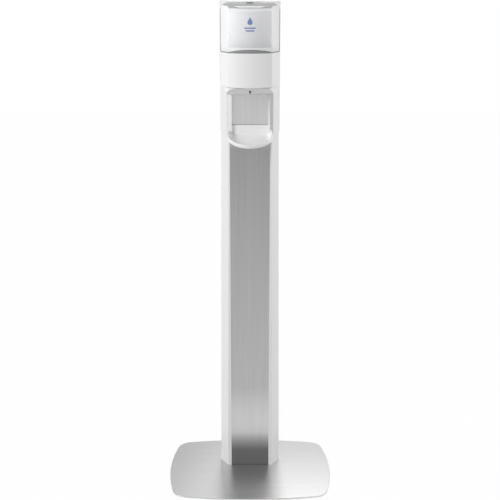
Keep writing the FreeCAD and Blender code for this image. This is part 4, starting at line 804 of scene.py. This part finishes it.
@dataclass
class Refill:
    """Label, generic marks and bubbles of the refill bottle.

    label_margin_high is counted down from the bottle's top, label_tuck down from the window frame's
    foot, drop_below from the label's top and bars_below from the drop's middle. The bubbles lie up to
    bubble_turn radians from the front, bubble_in and a few of their own radii behind the bottle's bow.
    """

    shop: Workshop
    bow_radius: float = 102.5 * MM
    label_half: float = 52.0 * MM
    label_margin_high: float = 6.0 * MM
    label_tuck: float = 12.0 * MM
    label_thick: float = 0.12 * MM
    film_share: float = 0.6
    label_steps: int = 28
    drop_below: float = 24.0 * MM
    drop_radius: float = 6.0 * MM
    drop_steps: int = 40
    drop_narrow: float = 0.55
    drop_stretch: float = 0.9
    bars_below: tuple[float, ...] = (13.0 * MM, 19.0 * MM)
    bar_half: float = 13.0 * MM
    bar_high: float = 3.0 * MM
    bar_shrink: float = 0.25
    bubbles: int = 170
    seed: int = 11
    bubble_radii_mm: tuple[float, float] = (0.5, 1.5)
    bubble_turn: float = 0.40
    bubble_in: float = 2.6 * MM
    bubble_gap: tuple[float, float] = (1.0, 2.4)
    bubble_sink: float = 1.2
    foam_deep_mm: float = 7.0
    bow_centre: Vector = field(init=False)
    low: Vector = field(init=False)
    high: Vector = field(init=False)

    def __post_init__(self) -> None:
        """Reads the bottle's place from the frame."""
        self.low, self.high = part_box("refill_bottle")
        self.bow_centre = Vector((0.0, self.low.y + self.bow_radius, 0.0))

    def build(self) -> None:
        """Builds everything that is on or in the bottle."""
        label_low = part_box("window_frame")[0].z - self.label_tuck
        top = self.high.z - self.label_margin_high
        self.band("bottle_label", "label_film", self.label_half, label_low, top, 1)
        middle = top - self.drop_below
        self.drop("label_drop", middle)
        for index, below in enumerate(self.bars_below):
            centre = middle - below
            half = self.bar_half * (1.0 - self.bar_shrink * index)
            self.band("label_bar_%d" % index, "label_blue", half, centre - self.bar_high / 2,
                      centre + self.bar_high / 2, 2)
        self.foam()

    def band(self, name: str, finish: str, half: float, z_low: float, z_high: float,
             layer: int) -> None:
        """Thin printed sheet that follows the bottle's bowed front.

        Args:
            name: Name of the piece.
            finish: Its finish.
            half: Half of its width.
            z_low: Lower edge.
            z_high: Upper edge.
            layer: Which layer it lies in, counted outwards from the bottle.
        """
        radius = self.bow_radius + self.label_thick * layer
        turn = math.asin(half / radius)
        shape = bmesh.new()
        start = self.bow_centre + Vector((-math.sin(turn) * radius, -math.cos(turn) * radius, 0))
        foot = shape.verts.new(start + Vector((0, 0, z_low)))
        head = shape.verts.new(start + Vector((0, 0, z_high)))
        edge = shape.edges.new((foot, head))
        bmesh.ops.spin(shape, geom=[foot, head, edge], cent=self.bow_centre, axis=(0, 0, 1), dvec=(0, 0, 0),
                       angle=2 * turn, steps=self.label_steps, use_merge=False, use_duplicate=False)
        self.face_out(shape)
        bmesh.ops.solidify(shape, geom=shape.faces, thickness=self.label_thick * self.film_share)
        self.shop.piece(name, shape, finish, "stand", "clear_bottle")

    def face_out(self, shape: bmesh.types.BMesh) -> None:
        """Turns the faces of an open sheet so that they look to the front, away from the bottle.

        Args:
            shape: Mesh of the sheet.
        """
        shape.normal_update()
        inward = [face for face in shape.faces if face.normal.y > 0]
        bmesh.ops.reverse_faces(shape, faces=inward)

    def drop(self, name: str, centre_z: float) -> None:
        """Plain drop shape on the label: a disc whose upper half is narrowed and drawn upwards.

        Args:
            name: Name of the piece.
            centre_z: Height of the disc's middle.
        """
        shape = bmesh.new()
        bmesh.ops.create_circle(shape, cap_ends=True, segments=self.drop_steps, radius=self.drop_radius,
                                matrix=Matrix.Rotation(math.radians(90), 4, "X"))
        radius = self.bow_radius + self.label_thick * 2
        for vert in shape.verts:
            up = max(vert.co.z / self.drop_radius, 0.0)
            vert.co.x *= 1.0 - self.drop_narrow * up ** 2
            vert.co.z += self.drop_radius * self.drop_stretch * up ** 3
            vert.co.z += centre_z
            vert.co.y = self.bow_centre.y - math.sqrt(radius ** 2 - vert.co.x ** 2)
        self.face_out(shape)
        bmesh.ops.solidify(shape, geom=shape.faces, thickness=self.label_thick * self.film_share)
        self.shop.piece(name, shape, "label_blue", "stand", "clear_bottle")

    def foam(self) -> None:
        """Bubbles that gather under the gel's surface along the front."""
        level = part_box("sanitizer_gel")[1].z
        chance = random.Random(self.seed)
        shape = bmesh.new()
        for _ in range(self.bubbles):
            size = chance.uniform(*self.bubble_radii_mm) * MM
            turn = chance.uniform(-self.bubble_turn, self.bubble_turn)
            reach = self.bow_radius - self.bubble_in - size * chance.uniform(*self.bubble_gap)
            centre = self.bow_centre + Vector((math.sin(turn) * reach, -math.cos(turn) * reach, 0))
            centre.z = level - size * self.bubble_sink - chance.random() ** 2 * self.foam_deep_mm * MM
            bmesh.ops.create_icosphere(shape, subdivisions=2, radius=size, matrix=Matrix.Translation(centre))
        self.shop.piece("gel_bubbles", shape, "foam", "stand", "clear_gel", smooth=180.0)


@dataclass
class Studio:
    """Pale floor, lamps, white surroundings and the camera.

    pitch is in degrees, lens and sensor in millimetres, and all else in metres or watts. sky is the
    strength of the white surroundings as light.
    """

    eye: Vector = field(default_factory=lambda: Vector((0.0, -2.438, 1.346)))
    pitch: float = 16.8
    lens: float = 73.8
    sensor: float = 36.0
    aim: Vector = field(default_factory=lambda: Vector((0.0, 0.0, 0.8)))
    floor_half: float = 6.0
    floor_dark: Color = (0.5, 0.5, 0.5)
    floor_light: Color = (0.54, 0.54, 0.54)
    floor_roughness: float = 0.6
    floor_glow: float = 0.985
    lamp_power: float = 40.0
    sky: float = 0.45

    def build(self) -> None:
        """Builds the whole studio."""
        bpy.context.scene.view_settings.view_transform = "Standard"
        self.floor()
        self.world()
        self.lamp("key", (-2.2, -1.6, 1.8), size=1.2, share=1.3)
        self.lamp("side", (2.4, 0.1, 1.4), size=1.4, share=0.75)
        self.lamp("back", (0.4, 1.8, 2.2), size=1.4, share=0.45)
        self.camera()

    def floor(self) -> None:
        """Pale floor that is white to the camera and keeps a soft shadow."""
        shape = bmesh.new()
        bmesh.ops.create_grid(shape, x_segments=1, y_segments=1, size=self.floor_half)
        mesh = bpy.data.meshes.new("floor")
        shape.to_mesh(mesh)
        shape.free()
        mesh.materials.append(self.floor_material())
        thing = bpy.data.objects.new("floor", mesh)
        bpy.context.scene.collection.objects.link(thing)

    def floor_material(self) -> bpy.types.Material:
        """Pale floor that glows white to the camera, to reflections and through clear pieces.

        Returns:
            The material.
        """
        material, graph, shader, place = open_material("pale_floor")
        skin = graph.group(Groups.get(skin_group), Vector=place, Grain_Scale=60.0, Patch_Scale=3.0)
        tone = shade_mix(graph, skin.outputs["Patch"], self.floor_dark, self.floor_light)
        graph.feed(shader, Base_Color=tone, Roughness=self.floor_roughness)
        glow = graph.feed(graph.add("Emission"), Color=WHITE, Strength=1.0)
        rays = graph.add("LightPath").outputs
        seen = graph.math("MAXIMUM", rays["Is Camera Ray"], rays["Is Glossy Ray"])
        clear = graph.math("MAXIMUM", seen, rays["Is Transmission Ray"])
        share = graph.math("MULTIPLY", clear, self.floor_glow)
        mix = graph.add("MixShader")
        for socket, source in zip(mix.inputs, (share, shader.outputs["BSDF"], glow.outputs["Emission"])):
            graph.plug(socket, source)
        graph.plug(material.node_tree.nodes["Material Output"].inputs["Surface"], mix.outputs[0])
        return material

    def world(self) -> None:
        """White surroundings, white to the camera and softer as light."""
        world = bpy.data.worlds.new("studio")
        bpy.context.scene.world = world
        world.use_nodes = True
        graph = Graph(world.node_tree)
        rays = graph.add("LightPath").outputs
        seen = graph.math("MAXIMUM", rays["Is Camera Ray"], rays["Is Transmission Ray"])
        back = world.node_tree.nodes["Background"]
        graph.feed(back, Color=WHITE, Strength=graph.span(seen, self.sky, 1.0))

    def lamp(self, name: str, place: tuple[float, float, float], size: float, share: float) -> None:
        """Adds a soft square lamp that looks at the stand.

        Args:
            name: Name of the lamp.
            place: Where it stands.
            size: Length of its sides.
            share: Its power as a share of lamp_power.
        """
        light = bpy.data.lights.new(name, "AREA")
        light.size = size
        light.energy = self.lamp_power * share
        thing = bpy.data.objects.new(name, light)
        thing.location = place
        look = self.aim - Vector(place)
        thing.rotation_euler = look.to_track_quat("-Z", "Y").to_euler()
        bpy.context.scene.collection.objects.link(thing)

    def camera(self) -> None:
        """Camera at the photographed angle."""
        lens = bpy.data.cameras.new("camera")
        lens.lens = self.lens
        lens.sensor_width = self.sensor
        thing = bpy.data.objects.new("camera", lens)
        thing.location = self.eye
        thing.rotation_euler = (math.radians(90.0 - self.pitch), 0.0, 0.0)
        bpy.context.scene.collection.objects.link(thing)
        bpy.context.scene.camera = thing


def main() -> None:
    """Builds the stand's looks round its frame."""
    logging.basicConfig(level=logging.INFO, format="%(name)s %(message)s")
    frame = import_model()
    shop = Workshop(frame)
    shop.dress_nodes()
    for part in (StandBody(shop), DripShield(shop), Dispenser(shop), Refill(shop), Studio()):
        LOG.info("building %s", type(part).__name__)
        part.build()


if __name__ == "__main__":
    main()
